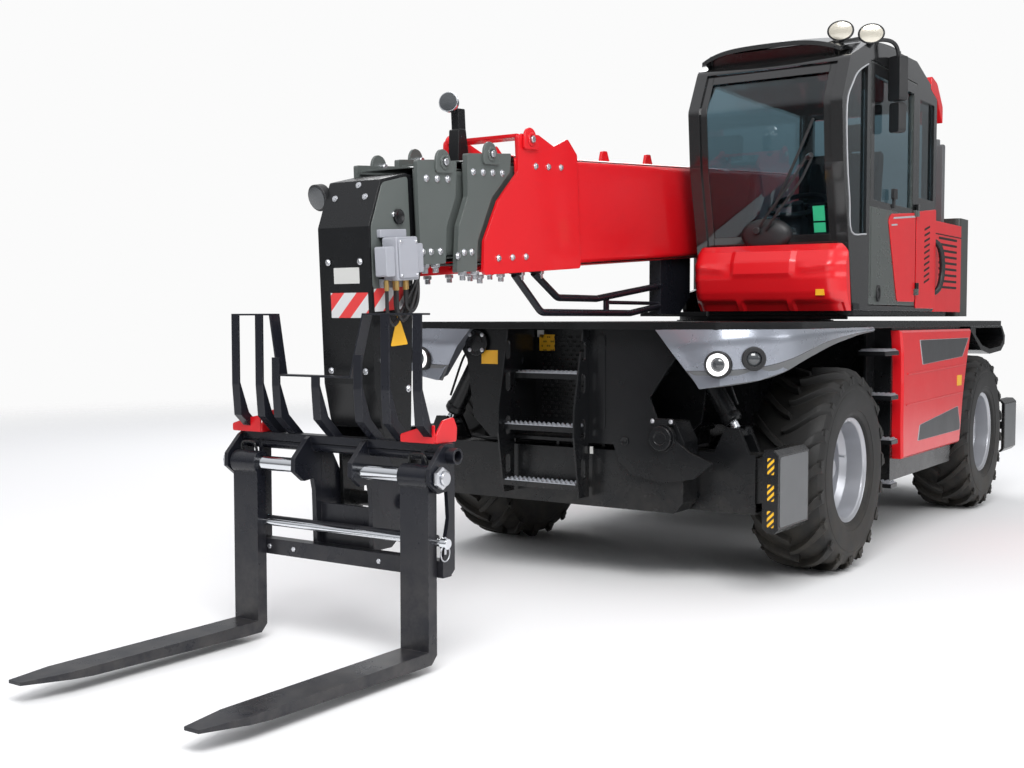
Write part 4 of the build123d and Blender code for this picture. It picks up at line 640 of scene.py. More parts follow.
# Boom collars: how far out a screw stands, its places (u, w), the eye (u, v, w), and the screws under it
collars = {
    "boom_base": {"out": 0.235, "bolts": [(4.50, 0.215), (4.62, 0.215), (4.74, 0.215), (4.86, -0.235),
                                          (4.98, -0.235), (5.10, -0.235)],
                  "eye": (4.79, 0.232, 0.345), "under": (0.16, -0.315), "screws": (4.62, 4.80, 4.98, 5.16)},
    "boom_section_2": {"out": 0.22, "bolts": [(5.02, 0.175), (5.10, 0.175), (5.18, 0.175), (5.26, 0.175),
                                              (5.30, -0.20), (5.36, -0.20), (5.41, -0.215)],
                       "eye": (5.12, 0.215, 0.262), "under": (0.205, -0.293), "screws": (5.26, 5.36)},
    "boom_section_3": {"out": 0.188, "bolts": [(5.42, 0.14), (5.50, 0.14), (5.58, 0.14), (5.50, -0.19),
                                               (5.57, -0.19), (5.63, -0.19)],
                       "eye": (5.45, 0.18, 0.216), "under": (0.172, -0.25), "screws": (5.52, 5.60)},
    "boom_head": {"out": 0.1475, "bolts": [(5.78, -0.02), (5.74, -0.42), (5.90, -0.66), (5.73, -0.80)]},
}
eyeShape = [(-0.075, -0.05), (0.07, -0.05), (0.055, 0.035), (0.02, 0.062), (-0.03, 0.05)]

for body, collar in collars.items():
    heads = [bolts(boomPoints([(u, side * collar["out"], w) for u, w in collar["bolts"]]), (side, 0, 0), 0.0125)
             for side in (1, -1)]
    addPiece(body + "_bolts", merge(*heads), zinc, body, "shaft_chrome")
    if "eye" not in collar:
        continue
    # slotted eyes on top, each with a pin through it, and hex fittings and pad screws under the collar
    u, v, w = collar["eye"]
    out, low = collar["under"]
    parts, pins, screws = [], [], []
    for side in (1, -1):
        shape = np.array(eyeShape) + (u, w)
        a, b = boomPoints([(u, side * (v - 0.03), w), (u, side * (v + 0.034), w)])
        washer = [(0, 0.034), (0.006, 0.034), (0.006, 0.02), (0, 0.02)]
        parts.append(plate(shape, side * (v + 0.004), side * (v + 0.018), "boom", 0.03))
        parts.append(ringShape(washer, b - (0.016 * side, 0, 0), (side, 0, 0), 24))
        pins.append(rod(a, b, 0.017))
        for along in collar["screws"]:
            a, b = boomPoints([(along, side * out, low + 0.004), (along, side * out, low - 0.038)])
            screws += [rod(a, b, 0.014, 6), rod(a, a + (b - a) * 0.45, 0.021, 6)]
    paint = redPaint if body == "boom_base" else boomPaint
    addPiece(body + "_eyes", merge(*parts), paint, body, "boom_grey", bevel=0.002)
    addPiece(body + "_eye_pins", merge(*pins), zinc, body, "shaft_chrome")
    addPiece(body + "_under_screws", merge(*screws), zinc, body, "shaft_chrome")

# Post with a round rear lamp on the second collar
post = {"foot": [(5.02, 0.22), (5.12, 0.22), (5.10, 0.40), (5.04, 0.40)], "top": rect(5.03, 5.09, 0.38, 0.50),
        "lamp": boomPoints([(5.10, 0.0, 0.50)])[0] + [0.0, -0.02, 0.02], "facing": (0.35, -1, 0.1),
        "cup": [(-0.03, 0.012), (-0.028, 0.032), (0.0, 0.045), (0.03, 0.05), (0.036, 0.048)],
        "lens": [(0.030, 0.046), (0.038, 0.044), (0.041, 0.02), (0.042, 0.004)]}
postParts = merge(plate(post["foot"], -0.03, 0.03, "boom", 0.01),
                  plate(post["top"], -0.022, 0.022, "boom", 0.008))
addPiece("post", postParts, blackPaint, "boom_section_2", "boom_grey", bevel=0.003)
lampCup, lampLens = [lathe(post[key], post["lamp"], post["facing"], 28) for key in ("cup", "lens")]
addPiece("post_cup", lampCup, chrome, "boom_section_2", "shaft_chrome")
addPiece("post_lens", lampLens, lampInner, "boom_section_2", "boom_grey")

# Head: screws, blank plates, bands, grey-green side plates, a disc and a work lamp. Places are (u, v, w)
head = {
    "front": ([-0.758, -0.069], [5.960, 5.947]),
    "screws": [(5.955, -0.09, -0.22), (5.955, 0.095, -0.22), (5.961, -0.1, -0.70), (5.961, 0.1, -0.70)],
    "slopeScrews": [(5.887, -0.09, 0.060), (5.887, 0.085, 0.060), (5.862, 0.03, 0.113)],
    "label": [(5.72, -0.60), (5.84, -0.60), (5.78, -0.455)],
    "cheek": [(5.668, 0.150), (5.846, 0.120), (5.936, -0.072), (5.944, -0.34), (5.675, -0.34), (5.668, -0.30)],
    "disc": [(0, 0.034), (0.012, 0.034), (0.015, 0.030), (0.012, 0.018), (0.010, 0.004)],
    "lampCup": [(-0.03, 0.02), (-0.02, 0.055), (0.02, 0.062), (0.024, 0.058)],
    "lampLens": [(0.018, 0.054), (0.027, 0.052), (0.030, 0.03), (0.031, 0.004)],
    "lampFacing": (-0.15, -1, -0.35),
}
start, alongU, alongW = boomPoints([(0, 0, 0), (1, 0, 0), (0, 0, 1)])
alongU, alongW = alongU - start, alongW - start
slopeScrews = bolts(boomPoints(head["slopeScrews"]), unit(alongU * 0.202 + alongW * 0.095), 0.011)
addPiece("head_front_bolts", merge(bolts(boomPoints(head["screws"]), alongU, 0.011), slopeScrews), zinc,
         "boom_head", "shaft_chrome")


# A thin plate on the front of the head: v across, w up, u from the slightly leaning front
def headFront(v0, v1, w0, w1, lift=0.0005, thick=0.002):
    v, w = np.array(rect(v0, v1, w0, w1)).T[:, None] * np.ones((1, 2, 1))
    u = np.interp(w, *head["front"]) + lift + thick * np.array([[0], [1]])
    return gridShell(np.stack(boomPlace(u, v, w), -1))


headSlabs = {
    "head_white_label": (headFront(-0.062, 0.085, -0.315, -0.245), whiteLabel),
    "head_front_bands": (headFront(-0.085, 0.13, -0.465, -0.355), hazardBands),
    "head_side_bands": (slabs([(5.735, 5.935, -0.44, -0.34, 0.148, 0.1495)], "boom"), hazardSide),
    "head_side_bands_right": (slabs([(5.735, 5.935, -0.44, -0.34, -0.1495, -0.148)], "boom"), hazardSide),
    "head_yellow_label": (plate(head["label"], 0.148, 0.1495, "boom", 0.01), yellowLabel),
}
for name, (part, material) in headSlabs.items():
    addPiece(name, part, material, "boom_head", "silver_panel")
for name, side in (("head_side_left", 1), ("head_side_right", -1)):
    cheek = plate(head["cheek"], side * 0.1476, side * 0.1515, "boom", 0.02)
    addPiece(name, cheek, boomPaint, "boom_head", "boom_grey", bevel=0.0015)
discAt, lampAt = boomPoints([(5.75, 0.151, -0.03), (5.86, -0.20, 0.075)])
lampBracket = slabs([(5.80, 5.86, 0.03, 0.09, -0.2, -0.148, 0.01)], "boom")
lampCup, lampLens = [lathe(head[key], lampAt, head["lampFacing"], 28) for key in ("lampCup", "lampLens")]
addPiece("head_disc", lathe(head["disc"], discAt, (1, 0, 0), 28), blackPaint, "boom_head", "boom_grey")
addPiece("head_work_lamp", merge(lampCup, lampBracket), plastic, "boom_head", "boom_grey")
addPiece("head_work_lens", lampLens, lampInner, "boom_head", "silver_panel")

# Junction box on the left of the head, with its sockets and hoses. Rows are plates in (u, w), from v to v
junction = {
    "boxes": [(5.735, 5.885, -0.31, -0.12, 0.165, 0.245, 0.012),
              (5.885, 5.945, -0.29, -0.16, 0.17, 0.235, 0.01), (5.66, 5.73, -0.28, -0.15, 0.165, 0.215, 0.01)],
    "lids": [(5.745, 5.875, -0.30, -0.13, 0.2452, 0.253, 0.012),
             (5.72, 5.90, -0.34, -0.30, 0.149, 0.172, 0.006), (5.72, 5.90, -0.12, -0.085, 0.149, 0.172, 0.006)],
    "screws": [(u, 0.253, w) for u in (5.757, 5.863) for w in (-0.288, -0.142)],
    "sockets": [(5.76, 0.19), (5.80, 0.215), (5.84, 0.19), (5.865, 0.22), (5.91, 0.20)],
}
addPiece("junction_box", slabs(junction["boxes"], "boom"), boxGrey, "boom_head", "silver_panel", bevel=0.004)
addPiece("junction_lids", slabs(junction["lids"], "boom"), boxGrey, "boom_head", "silver_panel", bevel=0.003)
lidScrews = bolts(boomPoints(junction["screws"]), (1, 0, 0), 0.006)
addPiece("junction_screws", lidScrews, zinc, "boom_head", "shaft_chrome")
sockets, hoses = [], []
for k, (u, v) in enumerate(junction["sockets"]):
    a, b = boomPoints([(u, v, -0.305), (u, v, -0.352)])
    sockets += [rod(a, b, 0.011, 8), rod(b, b + (b - a) * 0.35, 0.008, 12)]
    drop = 0.07 + 0.018 * k
    hoses.append(tube(boomPoints([(u, v, -0.35), (u, v, -0.36 - drop * 0.7), (u - 0.04, v, -0.36 - drop),
                                  (u - 0.09 - 0.01 * k, v - 0.012, -0.34 - drop * 0.6),
                                  (5.655, 0.16 + 0.006 * k, -0.27), (5.665, 0.13, -0.22)]), 0.0085))
addPiece("junction_sockets", merge(*sockets), brass, "boom_head", "shaft_chrome")
addPiece("junction_hoses", merge(*hoses), hoseRubber, "boom_head", "tyre_rubber")
print("boom details ready")

# Load carriage: nuts of the shafts, lock rod and its pin, lock loops, latches, bolts and end tube
carriage = {
    "shaft": (-4.522, 0.815), "nut": 0.596, "lock": (-4.508, 0.545), "loop": 0.491, "latch": 0.50,
    "lockBars": [(-0.47, 0.60, 0.0155), (0.60, 0.635, 0.024), (-0.485, -0.47, 0.022)],
    "pin": (0.618, -4.508, 0.505), "pinRing": (0.03, 0.034, 0.0028),
    "loopPath": [(-0.045, -4.522, 0.862), (-0.045, -4.528, 0.885), (-0.03, -4.53, 0.905), (0.03, -4.53, 0.905),
                 (0.045, -4.528, 0.885), (0.045, -4.522, 0.862)],
    "ear": [(-4.50, 0.951), (-4.36, 0.951), (-4.355, 1.01), (-4.38, 1.055), (-4.45, 1.045), (-4.50, 0.985)],
    "latchFront": [(-0.12, 0.951), (0.06, 0.951), (0.06, 1.03), (-0.02, 1.015), (-0.12, 0.985)],
    "latchFoot": [(-0.12, -4.50), (0.06, -4.50), (0.06, -4.40), (-0.12, -4.43)],
    "bolts": (0.55, 0.25, 0.40), "endTube": [(0, 0.034), (0.045, 0.034), (0.045, 0.024), (0, 0.024)],
}
cx = boom["x"]
nuts, latches = [], []
for side in (1, -1):
    a, b, c = [cx + side * (carriage["nut"] + d) for d in (0, 0.030, 0.042)]
    nuts += [crossRod(a, b, *carriage["shaft"], 0.048, 6), crossRod(b, c, *carriage["shaft"], 0.031, 24)]
    x = cx + side * carriage["latch"]
    latches.append(plate(carriage["ear"], x + 0.055, x + 0.067, "x", 0.01))
    latches.append(placed(plate(carriage["latchFront"], -4.505, -4.497, "y", 0.008), place=(x, 0, 0)))
    latches.append(placed(plate(carriage["latchFoot"], 0.9505, 0.958, "z", 0.005), place=(x, 0, 0)))
addPiece("shaft_nuts", merge(*nuts), zinc, "fork_carriage", "shaft_chrome", bevel=0.002)
lockRod = merge(*[crossRod(cx + x0, cx + x1, *carriage["lock"], r) for x0, x1, r in carriage["lockBars"]])
addPiece("lock_rod", lockRod, chrome, "fork_carriage", "shaft_chrome")
pinAt = np.array([cx, 0, 0]) + carriage["pin"]
wide, high, thick = carriage["pinRing"]
turn = np.linspace(0, 2 * np.pi, 24, endpoint=False)
ringPath = pinAt + np.stack([0 * turn, wide * np.sin(turn), high * np.cos(turn)], -1)
spin = np.linspace(0, 2 * np.pi, 8, endpoint=False)[None, :, None]
spokes = np.cos(spin) * np.array([1.0, 0, 0]) + np.sin(spin) * unit(ringPath - pinAt)[:, None]
lynchPin = merge(gridShell(ringPath[:, None] + thick * spokes, closeU=True),
                 rod(pinAt + (0, 0, 0.067), pinAt - (0, 0, 0.005), 0.005))
addPiece("lynch_pin", lynchPin, zinc, "fork_carriage", "shaft_chrome")
for fork, side in (("left_fork", 1), ("right_fork", -1)):
    path = np.array(carriage["loopPath"]) + (cx + side * carriage["loop"], 0, 0)
    addPiece(fork + "_lock_loop", tube(path, 0.0065), blackPaint, fork, "fork_black")
addPiece("latches", merge(*latches), redPaint, "fork_carriage", "red_panel", bevel=0.002)
boltsAt = [(cx + side * x, -4.488, 0.43) for side in (1, -1) for x in carriage["bolts"]]
addPiece("carriage_bolts", bolts(boltsAt, (0, -1, 0)), zinc, "fork_carriage", "shaft_chrome")
endTube = ringShape(carriage["endTube"], (cx + 0.594, -4.446, 0.9), (1, 0, 0), 32)
addPiece("end_tube", endTube, forkPaint, "fork_carriage", "fork_black", bevel=0.001)
print("carriage details ready")

# Cab front: the side outline of the screen, and what lies on it. Sheets are (x0, x1, z0, z1), wiper points
# (x, z, lift), all worked out from the outline
screen = {
    "z": [1.515, 1.96, 2.35, 2.70, 2.96], "y": [-1.48, -1.57, -1.66, -1.69, -1.56],
    "border": [(0.36, 0.405, 1.905, 2.925), (1.125, 1.17, 1.905, 2.925), (0.40, 1.13, 1.905, 1.955),
               (0.40, 1.13, 2.87, 2.925)],
    "labels": [(1.035, 1.105, 2.03, 2.115), (1.035, 1.105, 1.965, 2.02)],
    "hump": [(0, 0.16), (0.02, 0.155), (0.038, 0.12), (0.046, 0.06), (0.048, 0.01)],
    "humpAt": (0.74, -1.548, 1.965),
    "arms": [[(0.70 + d, 1.985, 0.045), (0.78 + d, 2.08, 0.05), (0.93 + d, 2.25, 0.045),
              (1.03 + d * 0.6, 2.39, 0.03)] for d in (0.0, 0.055)],
    "blade": [(0.80, 2.10, 0.022), (0.94, 2.34, 0.022), (1.07, 2.60, 0.022)],
    "joint": [(1.03, 2.385, 0.02), (1.063, 2.395, 0.045)], "hub": [(0.70, 1.985, 0.02), (0.70, 1.985, 0.062)],
}


# Points (x, z, lift) on the screen: y is the outline at z, brought forward by the lift
def onScreen(points):
    x, z, lift = np.asarray(points, float).T
    return np.stack([x, np.interp(z, screen["z"], screen["y"]) + 0.02 - lift, z], -1)


# A thin sheet over the screen: a rectangle in x and thickness carried along the outline
def screenSheet(x0, x1, z0, z1, lift=0.0015, thick=0.004, steps=24):
    z = np.linspace(z0, z1, steps)
    same = np.ones(steps)
    loop = [onScreen(np.stack([x * same, z, (lift + up) * same], -1)) for x, up in rect(x0, x1, 0, thick)]
    return gridShell(np.stack(loop, 1))


border = merge(*[screenSheet(*sizes) for sizes in screen["border"]])
addPiece("screen_border", border, gloss, "turret", "graphite_steel")
hump = placed(lathe(screen["hump"], (0, 0, 0), (0, -1, 0)), (1.0, 1.0, 0.62), screen["humpAt"])
addPiece("wiper_base", hump, plastic, "turret", "graphite_steel", angle=50)
arms = [tube(onScreen(arm), 0.0075, 8) for arm in screen["arms"]]
wipers = merge(*arms, tube(onScreen(screen["blade"]), 0.009, 8), rod(*onScreen(screen["joint"]), 0.016),
               rod(*onScreen(screen["hub"]), 0.022))
addPiece("wipers", wipers, plastic, "turret", "graphite_steel")
labels = merge(*[screenSheet(*sizes, 0.0025, 0.001, 4) for sizes in screen["labels"]])
addPiece("screen_labels", labels, greenLabel, "turret", "silver_panel")

# Roof visor: z = low + rise * sin(1.74 t, at most 1.5) - 0.05 s^4, over s across the roof and t from its front
# edge back
visor = {"mid": 0.735, "half": 0.455, "front": -1.60, "long": 1.12, "low": 3.072, "rise": 0.147, "thick": 0.026,
         "prop": [(-1.47, 2.97), (-1.545, 3.02), (-1.35, 3.095), (-1.15, 3.145), (-0.55, 3.15), (-0.52, 3.09),
                  (-1.18, 3.08)],
         "bar": [(-1.47, 2.99), (-1.20, 3.09), (-1.20, 3.13), (-1.50, 3.06)]}


# The top sheet by that formula, drawn in a little at the front, and the same sheet lower down
def makeVisor():
    s, t = np.meshgrid(np.linspace(-1, 1, 33), np.linspace(0, 1, 25), indexing="ij")
    x = visor["mid"] + visor["half"] * s * (1 - 0.05 * (1 - t) ** 2)
    y = visor["front"] + 0.07 * s**2 * (1 - t) + visor["long"] * t
    z = visor["low"] + visor["rise"] * np.sin(np.minimum(1.74 * t, 1.5)) - 0.05 * s**4
    top = np.stack([x, y, z], -1)
    return gridShell(np.concatenate([top, top[:, ::-1] - np.array([0, 0, visor["thick"]])], 1))


addPiece("roof_visor", makeVisor(), gloss, "turret", "graphite_steel", angle=50)
props = [plate(visor["prop"], x - 0.01, x + 0.01) for x in (0.335, 1.135)] + [plate(visor["bar"], 0.34, 1.13)]
addPiece("visor_props", merge(*props), blackPaint, "turret", "graphite_steel", bevel=0.003)

# Work lamps on the roof: place and facing of each, turned cups and lenses stretched sideways
roofLamps = {
    "lamps": [((1.13, -1.42, 3.13), (0.25, -1, -0.12)), ((1.268, -1.30, 3.118), (0.4, -1, -0.12))],
    "stretch": 0.32,
    "cup": [(-0.05, 0.02), (-0.045, 0.045), (-0.015, 0.056), (0.018, 0.058), (0.022, 0.054)],
    "lens": [(0.014, 0.052), (0.022, 0.05), (0.028, 0.03), (0.030, 0.004)],
    "stalks": [((1.13, -1.39, 3.09), (1.13, -1.34, 3.02)), ((1.268, -1.27, 3.08), (1.20, -1.20, 3.04))],
    "cable": [(1.262, -1.285, 3.13), (1.285, -1.20, 3.165), (1.25, -1.08, 3.17), (1.20, -1.0, 3.12),
              (1.19, -0.98, 3.09)],
}


# A turned shape made oval: each point moves out along the level direction across its facing by a share
def ovalShape(profile, place, facing):
    v, f = lathe(profile, (0, 0, 0), facing)
    side = unit(np.cross(unit(facing), (0, 0, 1)))
    return v + np.outer(v @ side, side) * roofLamps["stretch"] + np.array(place), f


cups = merge(*[ovalShape(roofLamps["cup"], *lamp) for lamp in roofLamps["lamps"]])
lenses = merge(*[ovalShape(roofLamps["lens"], *lamp) for lamp in roofLamps["lamps"]])
stalks = [rod(*ends, 0.012) for ends in roofLamps["stalks"]]
addPiece("work_lamps", merge(cups, *stalks), plastic, "turret", "graphite_steel")
addPiece("work_lenses", lenses, workLens, "turret", "silver_panel")
addPiece("lamp_cable", tube(roofLamps["cable"], 0.006, 8), hoseRubber, "turret", "tyre_rubber")

# Mirror on a bent tube at the left of the roof. Boxes are (half width, z0, z1, depth0, depth1)
mirror = {
    "x": 1.296, "y": -0.865, "turn": math.radians(28),
    "case": [(0.05, 2.79, 3.06, -0.04, 0.03), (0.042, 2.60, 2.78, -0.035, 0.028)],
    "faces": [(0.043, 2.80, 3.05, 0.0301, 0.032), (0.036, 2.61, 2.77, 0.0281, 0.030)],
    "tube": [(1.16, -1.10, 3.105), (1.23, -1.06, 3.13), (1.285, -0.98, 3.13), (1.305, -0.92, 3.09),
             (1.305, -0.90, 3.0), (1.305, -0.90, 2.9)],
}


# Plates turned by the mirror's angle about z, then put at its tube
def mirrorBoxes(rows, r=0.02):
    v, f = slabs([(-wide, wide, *rest, r) for wide, *rest in rows], "y")
    c, s = math.cos(mirror["turn"]), math.sin(mirror["turn"])
    x, y, z = v.T
    return np.stack([x * c + y * s + mirror["x"], y * c - x * s + mirror["y"], z], -1), f


addPiece("mirror_tube", tube(mirror["tube"], 0.012, 12), plastic, "turret", "graphite_steel")
addPiece("mirror_case", mirrorBoxes(mirror["case"]), plastic, "turret", "graphite_steel", bevel=0.005)
addPiece("mirror_faces", mirrorBoxes(mirror["faces"], 0.015), mirrorGlass, "turret", "shaft_chrome")

# Left side of the cab, outlines in (y, z): red wedges, stripes, slots drawn as near-black plates of painted
# shade, handle, latch, and seals round the panes
skin = 1.2402  # x of the cab's side
cabSide = {
    "doorWedge": [(-0.855, 2.075), (-0.665, 1.575), (-0.302, 1.575), (-0.302, 2.155), (-0.80, 2.115)],
    "rearWedge": [(-0.278, 1.535), (-0.278, 2.165), (0.165, 2.21), (0.165, 1.535)],
    "stripes": [[(-0.77, 2.085), (-0.305, 2.125), (-0.305, 2.137), (-0.76, 2.097)],
                [(-0.80, 2.04), (-0.69, 2.05), (-0.69, 2.06), (-0.81, 2.05)]],
    "slot": [(-0.10, 0), (0.02, 0.028), (0.02, 0.042), (-0.10, 0.014)], "slots": np.linspace(1.70, 2.05, 10),
    "handle": (skin, -1.04, 1.62),
    "latch": [(-0.80, -0.735, 2.205, 2.27, skin, 1.262, 0.012),
              (-0.78, -0.755, 2.15, 2.21, skin, 1.255, 0.008)],
    "surround": [(-1.197, -0.293, 2.135, 2.175), (-1.197, -0.293, 2.915, 2.98), (-1.197, -1.135, 2.175, 2.915),
                 (-0.355, -0.293, 2.175, 2.915)],
    "seal": [(-1.262, 1.965), (-1.515, 1.965), (-1.555, 2.15), (-1.597, 2.35), (-1.616, 2.67), (-1.52, 2.81),
             (-1.425, 2.888), (-1.262, 2.955)],
    "panel": [(-1.175, 1.60), (-0.70, 1.60), (-0.875, 2.08), (-0.86, 2.13), (-1.175, 2.13)],
    "hose": [(1.16, 0.19, 1.62), (1.245, 0.22, 1.66), (1.262, 0.27, 1.76), (1.262, 0.27, 1.88),
             (1.245, 0.22, 1.98), (1.15, 0.19, 2.02)],
    "skirt": [(-1.372, -1.352, 1.463, 1.4855, 0.27, 1.17), (-1.478, -1.37, 1.5156, 1.56, 0.28, 1.245)],
    "fairing": [(0.02, 3.0), (0.175, 2.95), (0.30, 2.80), (0.30, 2.92), (0.16, 3.06), (0.03, 3.09)],
}
for name, key, body in (("door_wedge", "doorWedge", "cab_door"), ("rear_wedge", "rearWedge", "turret")):
    wedge = plate(cabSide[key], skin, 1.247, "x", 0.025 if body == "cab_door" else 0.02)
    addPiece(name, wedge, redPaint, body, "red_panel", bevel=0.002)
stripes = merge(*[plate(shape, 1.247, 1.2482) for shape in cabSide["stripes"]])
addPiece("door_stripe", stripes, outlineGrey, "cab_door", "silver_panel")
# Each slot is a thin near-black plate: painted shade in place of an opening
slot = plate(cabSide["slot"], 1.2465, 1.2485, "x", 0.005)
slots = merge(*[placed(slot, place=(0, 0, z)) for z in cabSide["slots"]])
addPiece("wedge_slots", slots, slotShade, "turret", "red_panel")
cup = ringShape([(0, 0.040), (0.012, 0.040), (0.012, 0.028), (0, 0.028)], (0, 0, 0), (1, 0, 0), 32)
handle = merge(placed(cup, (1, 0.8, 1.25), cabSide["handle"]), crossRod(skin, 1.249, -1.04, 1.62, 0.017))
addPiece("door_handle", handle, plastic, "cab_door", "graphite_steel")
addPiece("door_latch", slabs(cabSide["latch"]), plastic, "cab_door", "graphite_steel", bevel=0.002)
surround = slabs([(*sizes, skin, 1.2418) for sizes in cabSide["surround"]])
addPiece("door_surround", surround, gloss, "cab_door", "graphite_steel")
seal = tube([(1.2415, *place) for place in cabSide["seal"]], 0.0045, 8, 4)
addPiece("pane_seal", seal, outlineGrey, "turret", "silver_panel")
doorPanel = plate(cabSide["panel"], skin, 1.2425, "x", 0.02)
addPiece("door_panel", doorPanel, cabPaint, "cab_door", "graphite_steel", bevel=0.001)
addPiece("cab_hose", tube(cabSide["hose"], 0.02, 12), hoseRubber, "turret", "tyre_rubber")
addPiece("cab_skirt", slabs(cabSide["skirt"]), blackPaint, "turret", "black_steel", bevel=0.003)
fairing = plate(cabSide["fairing"], 1.02, 1.243, "x", 0.02)
addPiece("roof_fairing", fairing, redPaint, "turret", "red_panel", bevel=0.004)
rearPost = merge(slabs([(0.83, 0.90, 2.13, 2.74, 0.98, 1.10, 0.02)]),
                 rod((1.04, 0.865, 2.72), (1.04, 0.865, 2.78), 0.03))
addPiece("rear_post", rearPost, greyPlastic, "turret", "graphite_steel", bevel=0.004)

# Rear hood: slots on the side and a seam round the lid, both thin near-black plates of painted shade.
# Counterweight: lifting eyes and bolts
weight = {
    "slots": [(0.32, 0.78, z, z + 0.016, 1.2245, 1.2265, 0.006) for z in np.linspace(1.68, 2.02, 9)],
    "seam": [(0.355, 0.177), (1.2285, 0.177), (1.2285, 0.902), (1.132, 1.184), (0.355, 1.184)],
    "eye": [(-0.05, 2.2295), (0.05, 2.2295), (0.035, 2.30), (-0.035, 2.30)],
    "eyes": [(x, y, 0) for x in (0.72, -0.72) for y in (1.42, 1.75)],
    "bolts": [(side * x, 2.01 - (x - 0.33) * 0.1404, z)
              for side in (1, -1) for x in (0.42, 0.80) for z in (1.60, 2.10)],
}
# Slots and the seam round the lid are painted shade: near-black plates where the gaps are
addPiece("hood_slots", slabs(weight["slots"]), slotShade, "turret", "red_panel")
addPiece("hood_seam", plate(weight["seam"], 2.05, 2.056, "z", 0.04), slotShade, "turret", "red_panel")
liftEye = plate(weight["eye"], -0.012, 0.012, "x", 0.02)
liftEyes = merge(*[placed(liftEye, place=place) for place in weight["eyes"]])
addPiece("weight_eyes", liftEyes, blackPaint, "turret", "black_steel", bevel=0.003)
addPiece("weight_bolts", bolts(weight["bolts"], (0, 1, 0), 0.018), zinc, "turret", "shaft_chrome")
print("cab details ready")

# Ladder and step treads, each (x0, x1, y0, y1, z), and the panel of holes behind the ladder, its holes drawn as
# near-black discs of painted shade
treads = {
    "front": [(-0.345, 0.125, -2.715, -2.615, 0.552), (-0.345, 0.125, -2.712, -2.606, 0.870),
              (-0.345, 0.125, -2.600, -2.470, 1.158)],
    "side": [(1.093, 1.255, -0.93, -0.66, 1.264), (1.093, 1.255, -0.80, -0.66, 0.985),
             (1.093, 1.255, -0.78, -0.66, 0.705), (1.093, 1.255, -0.78, -0.66, 0.430)],
    "tooth": [(-0.009, 0.0), (0.009, 0.0), (0.003, 0.010), (-0.003, 0.010)], "pitch": (0.03, 0.028),
}


# A sheet with rows of small teeth: their count is the length over the pitch, whole
def treadPlate(x0, x1, y0, y1, z):
    across, along = treads["pitch"]
    n = int((x1 - x0) / across)
    xs = x0 + (np.arange(n) + 0.5) * (x1 - x0) / n
    ys = np.linspace(y0 + 0.012, y1 - 0.012, max(3, int((y1 - y0) / along)))
    level = np.full((n, len(ys)), z + 0.005)
    places = np.stack([*np.meshgrid(xs, ys, indexing="ij"), level], -1).reshape(-1, 1, 3)
    v, f = plate(treads["tooth"], -0.003, 0.003, "y")
    teeth = [np.asarray(face) + k * len(v) for k in range(len(places)) for face in f]
    return merge(slabs([(y0, y1, z + 0.0005, z + 0.005, x0, x1)]), (v + places, teeth))


frontTreads, sideTreads = [merge(*[treadPlate(*row) for row in treads[key]]) for key in ("front", "side")]
dotX, dotZ = [grid.ravel() for grid in np.meshgrid(np.linspace(-0.31, 0.09, 17), np.linspace(0.90, 1.36, 19))]
dots = np.stack([dotX + 0.012 * (np.arange(len(dotX)) % 2), np.full(len(dotX), -2.3705), dotZ], -1)
# Each hole is a flat near-black disc: painted shade in place of an opening
hole = lathe([(0, 0.0075), (0.0025, 0.0075), (0.003, 0.006)], (0, 0, 0), (0, 0, 1), 8)
holes = scatter(hole, dots, (0, -1, 0))
addPiece("front_treads", frontTreads, galvanised, "chassis", "silver_panel")
addPiece("rear_treads", placed(frontTreads, toRear), galvanised, "chassis", "silver_panel")
addPiece("side_treads", sideTreads, galvanised, "chassis", "silver_panel")
addPiece("front_panel_holes", holes, slotShade, "chassis", "black_steel")
addPiece("rear_panel_holes", placed(holes, toRear), slotShade, "chassis", "black_steel")

# Covers and bolts on an end bulkhead, made for the front and mirrored for the rear, and blank labels on the
# front only
ends = {
    "cover": [(0, 0.078), (0.008, 0.078), (0.011, 0.075), (0.011, 0.05), (0.018, 0.046), (0.020, 0.01)],
    "coverBolts": [(-0.61 + 0.062 * math.cos(a), -2.626, 1.33 + 0.062 * math.sin(a))
                   for a in np.radians([45, 135, 225, 315])],
    "cap": [(0, 0.066), (0.012, 0.066), (0.016, 0.062), (0.016, 0.036), (0.010, 0.033), (0.010, 0.005)],
    "keeper": [(0.52, 0.905), (0.60, 0.895), (0.68, 0.905), (0.67, 0.935), (0.53, 0.935)],
    "plug": [(0, 0.026), (0.008, 0.026), (0.010, 0.022), (0.006, 0.016), (0.006, 0.003)],
    "rib": [(0.20, 0.25, 0.86, 1.38, -2.607, -2.6012, 0.02)],
    "yellow": [(-0.585, -0.47, 1.205, 1.285, -2.603, -2.6012), (-0.33, -0.225, 1.28, 1.375, -2.3735, -2.3705)],
    "white": [(-0.345, -0.30, 1.36, 1.40, -2.3735, -2.3705), (0.152, 0.172, 0.72, 0.76, -2.6035, -2.6012)],
}
dark = merge(lathe(ends["cover"], (-0.61, -2.615, 1.33), (0, -1, 0), 36),
             lathe(ends["cap"], (0.60, -2.6205, 0.83), (0, -1, 0), 40),
             plate(ends["keeper"], -2.612, -2.602, "y", 0.01),
             lathe(ends["plug"], (0.37, -2.6015, 0.80), (0, -1, 0), 24), slabs(ends["rib"], "y"))
bright = bolts(ends["coverBolts"] + [(0.545, -2.612, 0.92), (0.655, -2.612, 0.92)], (0, -1, 0), 0.009)
for side, factors in (("front", (1, 1, 1)), ("rear", acrossBoth)):
    addPiece(side + "_covers", placed(dark, factors), blackPaint, "chassis", "black_steel", bevel=0.002)
    addPiece(side + "_cover_bolts", placed(bright, factors), zinc, "chassis", "shaft_chrome")
